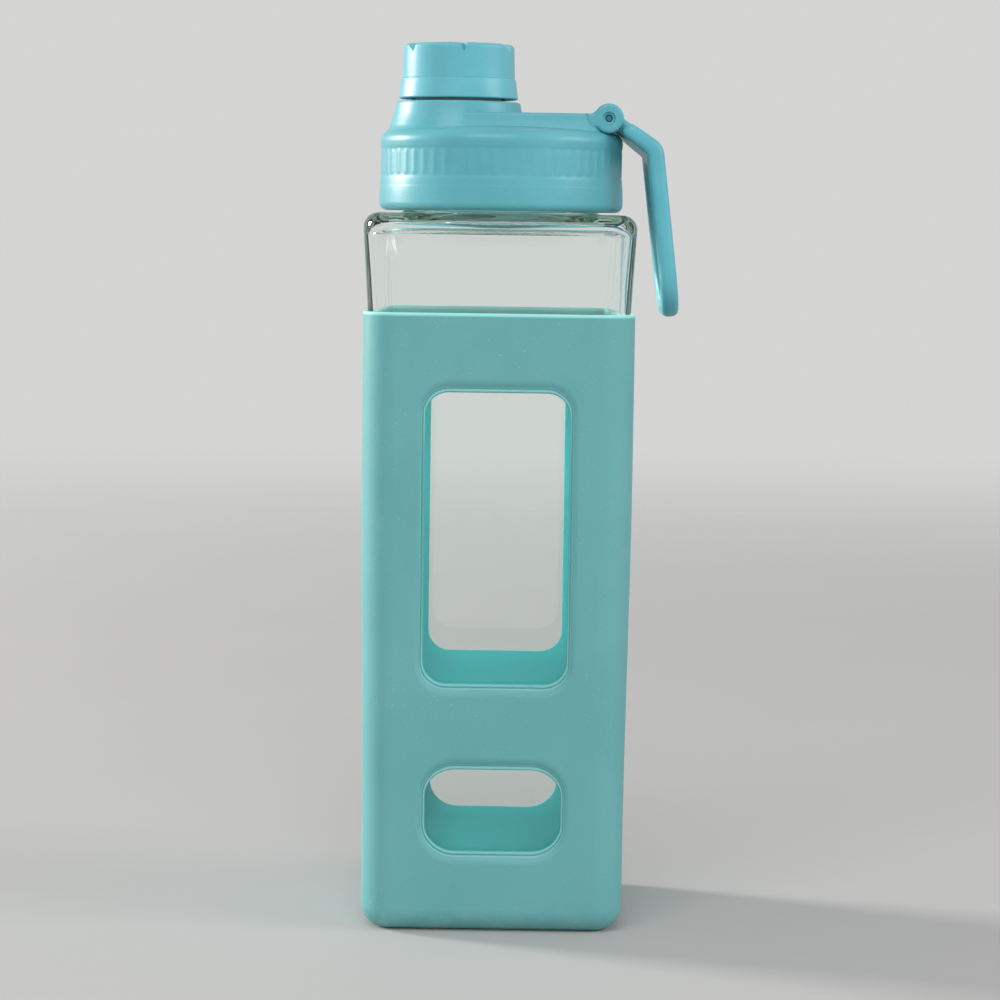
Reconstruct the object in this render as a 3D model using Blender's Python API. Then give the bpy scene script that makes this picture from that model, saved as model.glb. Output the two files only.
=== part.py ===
"""Square glass water bottle in a windowed silicone sleeve, with a lid, a capped spout and a swinging loop.

Metres, +Z up. The origin is the middle of the base. The spout lies towards -X, the handle towards +X, and the
windows face -Y and +Y. The lid stands turned to where its lugs let it lift off the neck.
"""

import math

import bmesh
import bpy
from mathutils import Matrix, Vector

# Clearances
REST_GAP = 0.0003  # between pieces that rest on or in one another
PIN_GAP = 0.00015  # round the hinge pin
THREAD_GAP = 0.00035  # at the crests and flanks of the lugs and the screw thread
SWING_GAP = 0.0004  # round the handle where it turns inside the lid

# Silicone sleeve
SLEEVE_HEIGHT = 0.1695
SLEEVE_FOOT_WIDTH = 0.0718
SLEEVE_TOP_WIDTH = 0.0739
SLEEVE_WALL = 0.0015
SLEEVE_LIP_WALL = 0.0009  # the wall thins to this at the top, where the glass starts to flare
SLEEVE_FLOOR = 0.0020
SLEEVE_CORNER = 0.0085  # corner radius at the foot
SLEEVE_FOOT_FILLET = 0.0065
SLEEVE_LIP_ROUND = 0.0003
TAPER_START = 0.0200  # the sleeve widens between these two heights
TAPER_END = 0.1300

# Windows of the sleeve, front and back
TALL_WINDOW_WIDTH = 0.0396
TALL_WINDOW_FOOT = 0.0684
TALL_WINDOW_TOP = 0.1485
TALL_WINDOW_CORNER = 0.0070
SMALL_WINDOW_WIDTH = 0.0376
SMALL_WINDOW_FOOT = 0.0222
SMALL_WINDOW_TOP = 0.0455
SMALL_WINDOW_CORNER = 0.0085
WINDOW_BEVEL_WIDTH = 0.0018
WINDOW_BEVEL_DEPTH = 0.0009

# Glass bottle
GLASS_BODY_HEIGHT = 0.1940  # foot to shoulder
GLASS_WALL = 0.0028
GLASS_FLOOR = 0.0060
GLASS_SHOULDER_WALL = 0.0030
GLASS_FOOT_FILLET = 0.0045
GLASS_INNER_FILLET = 0.0025
SHOULDER_PROUD = 0.00015  # how far the shoulder stands out past the sleeve's top on each side
SHOULDER_FILLET = 0.0040
FLARE_START = 0.1500  # height where the glass starts to flare out inside the sleeve
FLARE_POWER = 1.5
NECK_HEIGHT = 0.0158
NECK_RADIUS = 0.0265
NECK_BORE_RADIUS = 0.0230
NECK_FOOT_FILLET = 0.0015
NECK_RIM_ROUND = 0.0008

# Twist lugs that hold the lid on the neck, and the screw thread that holds the cap on the spout
LUG_COUNT = 4
LUG_HEIGHT = 0.0011
LUG_LEAD = 0.0060  # rise of a lug's slant in a full turn
LUG_TOP = 0.0045  # middle of the neck's lugs, below the rim
NECK_LUG_TURNS = 0.112  # length of a lug as a share of a turn
LID_LUG_TURNS = 0.088
LUG_FADE = 0.02  # share of a turn over which a lug runs out at each end
SPOUT_THREAD_HEIGHT = 0.0010
SPOUT_THREAD_LEAD = 0.0040
SPOUT_THREAD_TURNS = 1.25
SPOUT_THREAD_TOP = 0.0018  # below the spout's rim
SPOUT_THREAD_FADE = 0.12
THREAD_ROOT_WIDTH = 0.0019
THREAD_CREST_WIDTH = 0.0010
THREAD_SUNK = 0.0004  # how deep a ridge is rooted in its wall

# Lid shell
LID_FOOT_GAP = 0.0007  # above the glass shoulder
LID_RADIUS = 0.0340
LID_WAIST_RADIUS = 0.03355
LID_TOP_RADIUS = 0.0338
LID_WALL = 0.0020
LID_FOOT_FILLET = 0.0021
LID_SHOULDER_FILLET = 0.0030
LID_DOME_RISE = 0.0020
GRIP_FOOT = 0.0092  # the recessed grip band, above the lid's foot
GRIP_TOP = 0.0171
GRIP_DEPTH = 0.0003
DECK_HALF_WIDTH = 0.0170
DECK_RISE = 0.0050  # above the lid's shoulder
DECK_EDGE = 0.0010
DECK_WALL = 0.0020
COLLAR_RISE = 0.0081
COLLAR_TOP_RADIUS = 0.0173
COLLAR_FOOT_RADIUS = 0.0186
COLLAR_EDGE = 0.0006

# Lid insert and its gasket
INSERT_WALL = 0.0017
INSERT_PLATE = 0.0020
INSERT_FLANGE = 0.0017
LID_GASKET_THICKNESS = 0.0020
GASKET_EDGE = 0.0004  # chamfer on the edges of both gaskets

# Spout, cap and cap gasket
SPOUT_X = -0.0122
SPOUT_RADIUS = 0.0120
SPOUT_BORE_RADIUS = 0.0100
SPOUT_RISE = 0.0109  # above the collar
SPOUT_RIM_ROUND = 0.0006
CAP_FOOT_GAP = 0.0008
CAP_FOOT_RADIUS = 0.0166
CAP_STEP_RADIUS = 0.0159
CAP_TOP_RADIUS = 0.0154
CAP_STEP_HEIGHT = 0.0056
CAP_STEP_DEPTH = 0.0003
CAP_CEILING = 0.0028
CAP_EDGE = 0.0012
CAP_NOTCHES = 6
CAP_NOTCH_WIDTH = 0.0046
CAP_NOTCH_DEPTH = 0.0022
CAP_NOTCH_LENGTH = 0.0034
CAP_NOTCH_TURN = math.radians(-84.0)  # direction of the first notch
CAP_GASKET_THICKNESS = 0.0016

# Hinge and carry handle
HINGE_X = 0.0293
HINGE_RISE = 0.0037  # above the lid's shoulder
EAR_RADIUS = 0.0047
EAR_WIDTH = 0.0045
EAR_EDGE = 0.0010
PIN_RADIUS = 0.0010
PIN_EDGE = 0.00025
PIN_RECESS = 0.0008
PIN_RECESS_RADIUS = 0.0018
BARREL_RADIUS = 0.0037
HANDLE_THICKNESS = 0.0039
HANDLE_OFFSET = 0.0007  # of the plate's middle above the hinge axis
HANDLE_WIDTH = 0.0390
WEB_SLOPE = math.radians(36.0)  # below level
WEB_LENGTH = 0.0153
LEG_LEAN = math.radians(6.8)  # outwards from plumb
LEG_LENGTH = 0.0461
BEND_RADIUS = 0.0035
LOOP_CORNER = 0.0125
HOLE_WIDTH = 0.0260
HOLE_CORNER = 0.0070
HOLE_TOP = 0.0035  # below the bend
LOOP_END_BAR = 0.0062
SLOT_CUT_REACH = 0.0140  # how far the cutter of the handle's slot runs from the hinge

# Colours and roughness
GLASS_COLOUR = (0.95, 0.98, 0.97)
SLEEVE_COLOUR = (0.20, 0.52, 0.52)
LID_COLOUR = (0.18, 0.55, 0.60)
INSERT_COLOUR = (0.62, 0.80, 0.80)
GASKET_COLOUR = (0.80, 0.82, 0.80)
STEEL_COLOUR = (0.60, 0.61, 0.62)
GLASS_ROUGHNESS = 0.02
RUBBER_ROUGHNESS = 0.55
PLASTIC_ROUGHNESS = 0.38
STEEL_ROUGHNESS = 0.30

# Facets
CORNER_STEPS = 6  # round a corner of the body
SIDE_STEPS = 2  # along half a side of the body
FILLET_STEPS = 4
BODY_LEVELS = 9
TURN_STEPS = 48
EAR_STEPS = 28
PIN_STEPS = 16
THREAD_STEPS = 40  # a turn
LUG_STEPS = 6
DECK_STEPS = 16
SLOT_STEPS = 10
EDGE_SEGMENTS = 2
SMOOTH_ANGLE = math.radians(35.0)
WELD_DISTANCE = 1e-6

# Heights and radii that follow from these sizes
CORNER_CENTRE = SLEEVE_FOOT_WIDTH / 2 - SLEEVE_CORNER
GLASS_FOOT_Z = SLEEVE_FLOOR + REST_GAP
SHOULDER_Z = GLASS_FOOT_Z + GLASS_BODY_HEIGHT
RIM_Z = SHOULDER_Z + NECK_HEIGHT
LID_FOOT_Z = SHOULDER_Z + LID_FOOT_GAP
LID_GASKET_Z = RIM_Z + REST_GAP
PLATE_Z = LID_GASKET_Z + LID_GASKET_THICKNESS + REST_GAP
INSERT_TOP_Z = PLATE_Z + INSERT_PLATE
CEILING_Z = INSERT_TOP_Z + REST_GAP
LID_TOP_Z = CEILING_Z + LID_WALL
DECK_Z = LID_TOP_Z + DECK_RISE
COLLAR_Z = LID_TOP_Z + COLLAR_RISE
SPOUT_RIM_Z = COLLAR_Z + SPOUT_RISE
CAP_FOOT_Z = COLLAR_Z + CAP_FOOT_GAP
CAP_GASKET_Z = SPOUT_RIM_Z + REST_GAP
CAP_CEILING_Z = CAP_GASKET_Z + CAP_GASKET_THICKNESS + REST_GAP
CAP_TOP_Z = CAP_CEILING_Z + CAP_CEILING
HINGE_Z = LID_TOP_Z + HINGE_RISE
LID_BORE_RADIUS = LID_TOP_RADIUS - LID_WALL
NECK_CREST_RADIUS = NECK_RADIUS + LUG_HEIGHT
INSERT_BORE_RADIUS = NECK_CREST_RADIUS + THREAD_GAP
INSERT_RADIUS = INSERT_BORE_RADIUS + INSERT_WALL
SPOUT_CREST_RADIUS = SPOUT_RADIUS + SPOUT_THREAD_HEIGHT
CAP_BORE_RADIUS = SPOUT_CREST_RADIUS + THREAD_GAP
BARREL_HALF_WIDTH = DECK_HALF_WIDTH - EAR_WIDTH - SWING_GAP
PIN_HALF_LENGTH = DECK_HALF_WIDTH - PIN_RECESS - REST_GAP
BORE_RADIUS = PIN_RADIUS + PIN_GAP
NECK_LUG_Z = RIM_Z - LUG_TOP
SPOUT_THREAD_FOOT = SPOUT_RIM_Z - SPOUT_THREAD_TOP - SPOUT_THREAD_LEAD * SPOUT_THREAD_TURNS
SPOUT_PLACE = (SPOUT_X, 0.0, 0.0)
HINGE_PLACE = (HINGE_X, 0.0, HINGE_Z)

# Directions in the handle's side view, as (X, Z)
WEB_ALONG = Vector((math.cos(WEB_SLOPE), -math.sin(WEB_SLOPE)))
WEB_ACROSS = Vector((math.sin(WEB_SLOPE), math.cos(WEB_SLOPE)))
LEG_ALONG = Vector((math.sin(LEG_LEAN), -math.cos(LEG_LEAN)))
LEG_OUT = Vector((math.cos(LEG_LEAN), math.sin(LEG_LEAN)))
BEND_POINT = WEB_ACROSS * HANDLE_OFFSET + WEB_ALONG * WEB_LENGTH


def clear_scene():
    for thing in list(bpy.data.objects):
        bpy.data.objects.remove(thing, do_unlink=True)


def finish(name, colour, roughness, metallic=0.0, transmission=0.0):
    """A material with one Principled surface."""
    made = bpy.data.materials.new(name)
    made.use_nodes = True
    made.diffuse_color = (*colour, 1.0)
    surface = made.node_tree.nodes["Principled BSDF"]
    surface.inputs["Base Color"].default_value = (*colour, 1.0)
    surface.inputs["Roughness"].default_value = roughness
    surface.inputs["Metallic"].default_value = metallic
    surface.inputs["Transmission Weight"].default_value = transmission
    return made


def piece(name, bm, material, place=(0.0, 0.0, 0.0)):
    """An object made from a closed bmesh whose points are measured from its place."""
    bmesh.ops.recalc_face_normals(bm, faces=bm.faces[:])
    mesh = bpy.data.meshes.new(name)
    bm.to_mesh(mesh)
    bm.free()
    mesh.shade_smooth()
    mesh.set_sharp_from_angle(angle=SMOOTH_ANGLE)
    made = bpy.data.objects.new(name, mesh)
    made.location = place
    bpy.context.scene.collection.objects.link(made)
    if material:
        mesh.materials.append(material)
    return made


def helper(name, bm, place=(0.0, 0.0, 0.0)):
    """A shape that only cuts or joins: it isn't a piece of the bottle."""
    made = piece(name, bm, None, place)
    made.hide_render = True
    made.display_type = "WIRE"
    return made


def combine(target, other, operation):
    modifier = target.modifiers.new(other.name, "BOOLEAN")
    modifier.solver = "EXACT"
    modifier.operation = operation
    modifier.object = other


def square_ring(reach, z):
    """Points of a rounded square whose outline lies this far outside the fixed corner centres."""
    points = []
    for quarter in range(4):
        turn = Matrix.Rotation(quarter * math.pi / 2, 3, "Z")
        run = [(CORNER_CENTRE + reach, CORNER_CENTRE * step / SIDE_STEPS) for step in range(SIDE_STEPS)]
        for step in range(CORNER_STEPS + 1):
            angle = math.pi / 2 * step / CORNER_STEPS
            run.append((CORNER_CENTRE + reach * math.cos(angle), CORNER_CENTRE + reach * math.sin(angle)))
        for step in range(1, SIDE_STEPS):
            run.append((CORNER_CENTRE * (1 - step / SIDE_STEPS), CORNER_CENTRE + reach))
        points += [turn @ Vector((x, y, z)) for x, y in run]
    return points


def round_ring(radius, z):
    """A circle with as many points as a square ring has, so that the two can be joined."""
    count = 4 * (2 * SIDE_STEPS + CORNER_STEPS)
    angles = [2 * math.pi * index / count for index in range(count)]
    return [Vector((radius * math.cos(angle), radius * math.sin(angle), z)) for angle in angles]


def loft(rings):
    """A closed body through these rings, with its first and last ring filled."""
    bm = bmesh.new()
    rows = [[bm.verts.new(point) for point in ring] for ring in rings]
    for low, high in zip(rows, rows[1:]):
        count = len(low)
        for index in range(count):
            after = (index + 1) % count
            bm.faces.new((low[index], low[after], high[after], high[index]))
    bm.faces.new(rows[0][::-1])
    bm.faces.new(rows[-1])
    return bm


def turned(profile, steps=TURN_STEPS, closed=False):
    """A body turned round Z from (radius, height) points, either a closed loop or a run from axis to axis."""
    bm = bmesh.new()
    row = [bm.verts.new((radius, 0.0, z)) for radius, z in profile]
    pairs = list(zip(row, row[1:]))
    if closed:
        pairs.append((row[-1], row[0]))
    edges = [bm.edges.new(pair) for pair in pairs]
    bmesh.ops.spin(
        bm,
        geom=row + edges,
        cent=(0.0, 0.0, 0.0),
        axis=(0.0, 0.0, 1.0),
        angle=2 * math.pi,
        steps=steps,
        use_merge=True,
    )
    bmesh.ops.remove_doubles(bm, verts=bm.verts[:], dist=WELD_DISTANCE)
    return bm


def extruded(outline, to_space, low, high):
    """A prism: outline points go through to_space(a, b, depth) at both depths."""
    return loft([[to_space(a, b, depth) for a, b in outline] for depth in (low, high)])


def arc(centre, radius, start, end, steps=FILLET_STEPS):
    """Points on a circle from one angle to another, both ends included, in degrees."""
    points = []
    for step in range(steps + 1):
        angle = math.radians(start + (end - start) * step / steps)
        points.append((centre[0] + radius * math.cos(angle), centre[1] + radius * math.sin(angle)))
    return points


def rounded_box(low_a, high_a, low_b, high_b, corner, far_corner=None):
    """Outline of a rectangle with rounded corners. far_corner is for the two corners at high_a."""
    far = far_corner or corner
    return (
        arc((low_a + corner, low_b + corner), corner, 180, 270)
        + arc((high_a - far, low_b + far), far, 270, 360)
        + arc((high_a - far, high_b - far), far, 0, 90)
        + arc((low_a + corner, high_b - corner), corner, 90, 180)
    )


def levels(low, high, count):
    return [low + (high - low) * index / (count - 1) for index in range(count)]


def sleeve_reach(z):
    """How far the sleeve's outside lies beyond the corner centres: it widens gently from foot to top."""
    share = min(max((z - TAPER_START) / (TAPER_END - TAPER_START), 0.0), 1.0)
    widening = (SLEEVE_TOP_WIDTH - SLEEVE_FOOT_WIDTH) / 2
    return SLEEVE_CORNER + widening * share * share * (3 - 2 * share)


def glass_reach(z):
    """The same for the glass, which fills the sleeve and flares out above it to the shoulder."""
    in_lip = min(max((z - FLARE_START) / (SLEEVE_HEIGHT - FLARE_START), 0.0), 1.0) ** FLARE_POWER
    wall = SLEEVE_WALL + (SLEEVE_LIP_WALL - SLEEVE_WALL) * in_lip
    in_sleeve = sleeve_reach(z) - wall - REST_GAP
    flare_end = SHOULDER_Z - SHOULDER_FILLET
    above = min(max((z - SLEEVE_HEIGHT) / (flare_end - SLEEVE_HEIGHT), 0.0), 1.0)
    return in_sleeve + (SLEEVE_LIP_WALL + REST_GAP + SHOULDER_PROUD) * above


def foot_rings(reach, fillet, z):
    """Rings of a rounded foot edge, from the flat underside up to the side."""
    rings = []
    for step in range(FILLET_STEPS + 1):
        angle = math.pi / 2 * step / FILLET_STEPS
        rings.append(square_ring(reach - fillet * (1 - math.sin(angle)), z + fillet * (1 - math.cos(angle))))
    return rings


def shoulder_rings(reach, fillet, z):
    """Rings of a rounded shoulder edge, from the side in to the flat top at z."""
    rings = []
    for step in range(FILLET_STEPS + 1):
        angle = math.pi / 2 * step / FILLET_STEPS
        rings.append(square_ring(reach - fillet * (1 - math.cos(angle)), z - fillet * (1 - math.sin(angle))))
    return rings


def ridge(name, root, height, lead, turns, foot, phase, run_out, inward=False, place=(0.0, 0.0, 0.0)):
    """One right-handed ridge on a wall of this root radius. Its ends run out into the wall."""
    side = -1 if inward else 1
    steps = max(round(turns * THREAD_STEPS), LUG_STEPS)
    rings = []
    for step in range(steps + 1):
        share = step / steps
        angle = phase + 2 * math.pi * turns * share
        fade = min(share * turns / run_out, (1 - share) * turns / run_out, 1.0)
        middle = foot + lead * turns * share
        sunk = root - side * THREAD_SUNK
        crest = root + side * (height * fade - THREAD_SUNK / 2 * (1 - fade))
        section = (
            (sunk, -THREAD_ROOT_WIDTH / 2),
            (crest, -THREAD_CREST_WIDTH / 2),
            (crest, THREAD_CREST_WIDTH / 2),
            (sunk, THREAD_ROOT_WIDTH / 2),
        )
        rings.append([Vector((r * math.cos(angle), r * math.sin(angle), middle + z)) for r, z in section])
    return helper(name, loft(rings), place)


def lug_ring(target, label, root, height, turns, middle, first, inward=False):
    """Joins a ring of evenly spread lugs to a piece. first is the middle of the first lug, in turns."""
    for index in range(LUG_COUNT):
        centre = first + index / LUG_COUNT
        phase = 2 * math.pi * (centre - turns / 2)
        foot = middle - LUG_LEAD * turns / 2
        name = f"{label}_lug_{index + 1}"
        combine(target, ridge(name, root, height, LUG_LEAD, turns, foot, phase, LUG_FADE, inward), "UNION")


def flank_offset(outer_height):
    """How far below a male ridge's middle the female one runs, so that its upper flank almost bears."""
    slope = (THREAD_ROOT_WIDTH - THREAD_CREST_WIDTH) / 2 / (outer_height + THREAD_SUNK)
    male_half = THREAD_CREST_WIDTH / 2 + slope * (outer_height - THREAD_GAP)
    return male_half + THREAD_CREST_WIDTH / 2 + THREAD_GAP


def window_cutter(name, width, foot, top, corner, side):
    """A flaring plug that cuts a window with a sloping rim in the sleeve's face. side is -1 or 1 along Y."""
    slope = WINDOW_BEVEL_WIDTH / WINDOW_BEVEL_DEPTH
    beyond = SLEEVE_WALL
    inside = -SLEEVE_WALL - WINDOW_BEVEL_DEPTH
    sections = (
        (WINDOW_BEVEL_WIDTH + slope * beyond, beyond),
        (0.0, -WINDOW_BEVEL_DEPTH),
        (0.0, inside),
    )
    rings = []
    for grow, depth in sections:
        outline = rounded_box(-width / 2 - grow, width / 2 + grow, foot - grow, top + grow, corner + grow)
        ring = []
        for x, z in outline:
            ring.append(Vector((x, side * (CORNER_CENTRE + sleeve_reach(z) + depth), z)))
        rings.append(ring)
    return helper(name, loft(rings))


def build_glass(material):
    outer = foot_rings(glass_reach(GLASS_FOOT_Z), GLASS_FOOT_FILLET, GLASS_FOOT_Z)
    foot_top = GLASS_FOOT_Z + GLASS_FOOT_FILLET
    for z in levels(foot_top, SLEEVE_HEIGHT, BODY_LEVELS)[1:]:
        outer.append(square_ring(glass_reach(z), z))
    flare_end = SHOULDER_Z - SHOULDER_FILLET
    outer.append(square_ring(glass_reach((SLEEVE_HEIGHT + flare_end) / 2), (SLEEVE_HEIGHT + flare_end) / 2))
    outer += shoulder_rings(glass_reach(flare_end), SHOULDER_FILLET, SHOULDER_Z)
    neck_foot = (NECK_RADIUS + NECK_FOOT_FILLET, SHOULDER_Z + NECK_FOOT_FILLET)
    neck = [round_ring(radius, z) for radius, z in arc(neck_foot, NECK_FOOT_FILLET, 270, 180, EDGE_SEGMENTS)]
    neck += [
        round_ring(NECK_RADIUS, RIM_Z - NECK_RIM_ROUND),
        round_ring(NECK_RADIUS - NECK_RIM_ROUND, RIM_Z),
        round_ring(NECK_BORE_RADIUS + NECK_RIM_ROUND, RIM_Z),
        round_ring(NECK_BORE_RADIUS, RIM_Z - NECK_RIM_ROUND),
    ]
    inner_top = SHOULDER_Z - GLASS_SHOULDER_WALL
    neck.append(round_ring(NECK_BORE_RADIUS, inner_top))
    inner_reach = glass_reach(inner_top) - GLASS_WALL
    inner = shoulder_rings(inner_reach, GLASS_INNER_FILLET, inner_top)[::-1]
    floor = GLASS_FOOT_Z + GLASS_FLOOR
    for z in levels(floor + GLASS_INNER_FILLET, inner_top - GLASS_INNER_FILLET, BODY_LEVELS)[-2:0:-1]:
        inner.append(square_ring(glass_reach(z) - GLASS_WALL, z))
    inner += foot_rings(glass_reach(floor) - GLASS_WALL, GLASS_INNER_FILLET, floor)[::-1]
    glass = piece("glass_bottle", loft(outer + neck + inner), material)
    lug_ring(glass, "neck", NECK_RADIUS, LUG_HEIGHT, NECK_LUG_TURNS, NECK_LUG_Z, 0.5 / LUG_COUNT)
    return glass


def build_sleeve(material):
    outer = foot_rings(sleeve_reach(0.0), SLEEVE_FOOT_FILLET, 0.0)
    for z in levels(SLEEVE_FOOT_FILLET, SLEEVE_HEIGHT - SLEEVE_LIP_ROUND, BODY_LEVELS)[1:]:
        outer.append(square_ring(sleeve_reach(z), z))
    lip = [
        square_ring(sleeve_reach(SLEEVE_HEIGHT) - SLEEVE_LIP_ROUND, SLEEVE_HEIGHT),
        square_ring(glass_reach(SLEEVE_HEIGHT) + REST_GAP, SLEEVE_HEIGHT),
    ]
    inner = []
    glass_foot_top = GLASS_FOOT_Z + GLASS_FOOT_FILLET
    for z in levels(glass_foot_top, SLEEVE_HEIGHT, BODY_LEVELS)[-2:0:-1]:
        inner.append(square_ring(glass_reach(z) + REST_GAP, z))
    inner_reach = glass_reach(GLASS_FOOT_Z) + REST_GAP
    inner += foot_rings(inner_reach, GLASS_FOOT_FILLET + REST_GAP, SLEEVE_FLOOR)[::-1]
    sleeve = piece("silicone_sleeve", loft(outer + lip + inner), material)
    windows = (
        ("tall", TALL_WINDOW_WIDTH, TALL_WINDOW_FOOT, TALL_WINDOW_TOP, TALL_WINDOW_CORNER),
        ("small", SMALL_WINDOW_WIDTH, SMALL_WINDOW_FOOT, SMALL_WINDOW_TOP, SMALL_WINDOW_CORNER),
    )
    for label, width, foot, top, corner in windows:
        for face, side in (("front", -1), ("back", 1)):
            cutter = window_cutter(f"{label}_{face}_window", width, foot, top, corner, side)
            combine(sleeve, cutter, "DIFFERENCE")
    return sleeve


def lid_profile():
    """The shell's turned section: out under its ceiling, down, up the outside and back to the axis."""
    corner = LID_SHOULDER_FILLET - LID_WALL
    corner_centre = (LID_BORE_RADIUS - corner, CEILING_Z - corner)
    inside = [(0.0, CEILING_Z)] + arc(corner_centre, corner, 90, 0, EDGE_SEGMENTS)
    inside.append((LID_BORE_RADIUS, LID_FOOT_Z))
    foot_arc = arc((LID_RADIUS - LID_FOOT_FILLET, LID_FOOT_Z + LID_FOOT_FILLET), LID_FOOT_FILLET, -90, 0)
    grip_foot = LID_FOOT_Z + GRIP_FOOT
    grip_top = LID_FOOT_Z + GRIP_TOP
    grip = [
        (LID_WAIST_RADIUS, grip_foot - GRIP_DEPTH),
        (LID_WAIST_RADIUS - GRIP_DEPTH, grip_foot),
        (LID_WAIST_RADIUS - GRIP_DEPTH, grip_top),
        (LID_WAIST_RADIUS, grip_top + GRIP_DEPTH),
    ]
    flat_radius = LID_TOP_RADIUS - LID_SHOULDER_FILLET
    top_arc = arc((flat_radius, LID_TOP_Z - LID_SHOULDER_FILLET), LID_SHOULDER_FILLET, 0, 90)
    dome = []
    for step in range(1, FILLET_STEPS + 1):
        share = 1 - step / FILLET_STEPS
        dome.append((flat_radius * share, LID_TOP_Z + LID_DOME_RISE * (1 - share * share)))
    return inside + foot_arc + grip + top_arc + dome


def plan(a, b, depth):
    """A plan outline, raised along Z."""
    return Vector((a, b, depth))


def side_view(a, b, depth):
    """A side outline in X and Z, drawn out along Y."""
    return Vector((a, depth, b))


def along_y(bm):
    """Turns a body made round Z so that it lies along Y."""
    quarter = Matrix.Rotation(math.pi / 2, 3, "X")
    bmesh.ops.rotate(bm, verts=bm.verts[:], cent=(0.0, 0.0, 0.0), matrix=quarter)
    return bm


def rod(radius, low, high, edge=0.0, steps=TURN_STEPS):
    """A turned rod with its end edges chamfered."""
    if not edge:
        return turned([(0.0, low), (radius, low), (radius, high), (0.0, high)], steps)
    profile = [
        (0.0, low),
        (radius - edge, low),
        (radius, low + edge),
        (radius, high - edge),
        (radius - edge, high),
        (0.0, high),
    ]
    return turned(profile, steps)


def washer(inner, outer, low, high):
    """A flat ring with chamfered edges."""
    profile = [
        (inner + GASKET_EDGE, low),
        (outer - GASKET_EDGE, low),
        (outer, low + GASKET_EDGE),
        (outer, high - GASKET_EDGE),
        (outer - GASKET_EDGE, high),
        (inner + GASKET_EDGE, high),
        (inner, high - GASKET_EDGE),
        (inner, low + GASKET_EDGE),
    ]
    return turned(profile, closed=True)


def deck_body():
    """The raised deck: round at the spout's end, square at the hinge, with its top edge rounded."""
    outline = [(HINGE_X, -DECK_HALF_WIDTH), (HINGE_X, DECK_HALF_WIDTH)]
    outline += arc((SPOUT_X, 0.0), DECK_HALF_WIDTH, 90, 270, DECK_STEPS)
    bm = extruded(outline, plan, CEILING_Z + LID_WALL / 2, DECK_Z)
    top_edges = [edge for edge in bm.edges if all(vert.co.z > LID_TOP_Z for vert in edge.verts)]
    bmesh.ops.bevel(
        bm,
        geom=top_edges,
        offset=DECK_EDGE,
        segments=EDGE_SEGMENTS,
        profile=0.5,
        affect="EDGES",
        material=-1,
    )
    return bm


def collar_body():
    """The collar that the spout comes up through, made round the spout's axis."""
    profile = [
        (0.0, CEILING_Z + LID_WALL / 2),
        (COLLAR_FOOT_RADIUS, CEILING_Z + LID_WALL / 2),
        (COLLAR_FOOT_RADIUS, LID_TOP_Z),
        (COLLAR_TOP_RADIUS, COLLAR_Z - COLLAR_EDGE),
        (COLLAR_TOP_RADIUS - COLLAR_EDGE, COLLAR_Z),
        (0.0, COLLAR_Z),
    ]
    return turned(profile)


def hinge_slot_outline():
    """Side view of the room for the handle: round its barrel, open above it and along the resting web."""
    radius = BARREL_RADIUS + SWING_GAP
    below = HANDLE_THICKNESS / 2 - HANDLE_OFFSET + REST_GAP
    back = EAR_RADIUS + REST_GAP
    touch = WEB_ALONG * math.sqrt(radius**2 - below**2) - WEB_ACROSS * below
    touch_angle = math.degrees(math.atan2(touch.y, touch.x)) + 360
    far = WEB_ALONG * SLOT_CUT_REACH - WEB_ACROSS * below
    outline = [(-back, SLOT_CUT_REACH), (-back, 0.0)]
    outline += arc((0.0, 0.0), radius, 180, touch_angle, SLOT_STEPS)
    outline += [(far.x, far.y), (far.x, SLOT_CUT_REACH)]
    return outline


def pin_bore():
    """The pin's hole through the ears, with a recess at each end."""
    end = DECK_HALF_WIDTH + PIN_RECESS
    floor = DECK_HALF_WIDTH - PIN_RECESS
    profile = [
        (0.0, -end),
        (PIN_RECESS_RADIUS, -end),
        (PIN_RECESS_RADIUS, -floor),
        (BORE_RADIUS, -floor),
        (BORE_RADIUS, floor),
        (PIN_RECESS_RADIUS, floor),
        (PIN_RECESS_RADIUS, end),
        (0.0, end),
    ]
    return along_y(turned(profile, PIN_STEPS))


def build_lid_shell(material):
    shell = piece("lid_shell", turned(lid_profile()), material)
    combine(shell, helper("deck_block", deck_body()), "UNION")
    combine(shell, helper("collar_ring", collar_body(), SPOUT_PLACE), "UNION")
    ears = along_y(rod(EAR_RADIUS, -DECK_HALF_WIDTH, DECK_HALF_WIDTH, EAR_EDGE, EAR_STEPS))
    combine(shell, helper("hinge_block", ears, HINGE_PLACE), "UNION")
    slot_half = DECK_HALF_WIDTH - EAR_WIDTH
    slot = extruded(hinge_slot_outline(), side_view, -slot_half, slot_half)
    combine(shell, helper("barrel_slot", slot, HINGE_PLACE), "DIFFERENCE")
    combine(shell, helper("ear_bore", pin_bore(), HINGE_PLACE), "DIFFERENCE")
    bore = rod(SPOUT_CREST_RADIUS + REST_GAP, CEILING_Z - LID_WALL, COLLAR_Z + LID_WALL)
    combine(shell, helper("collar_bore", bore, SPOUT_PLACE), "DIFFERENCE")
    pocket_start = SPOUT_X + COLLAR_TOP_RADIUS + DECK_WALL
    pocket_end = HINGE_X - EAR_RADIUS - REST_GAP - DECK_WALL
    pocket_half = DECK_HALF_WIDTH - DECK_WALL
    pocket_outline = rounded_box(pocket_start, pocket_end, -pocket_half, pocket_half, DECK_WALL)
    pocket = extruded(pocket_outline, plan, CEILING_Z - LID_WALL, DECK_Z - DECK_WALL)
    combine(shell, helper("deck_pocket", pocket), "DIFFERENCE")
    return shell


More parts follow.
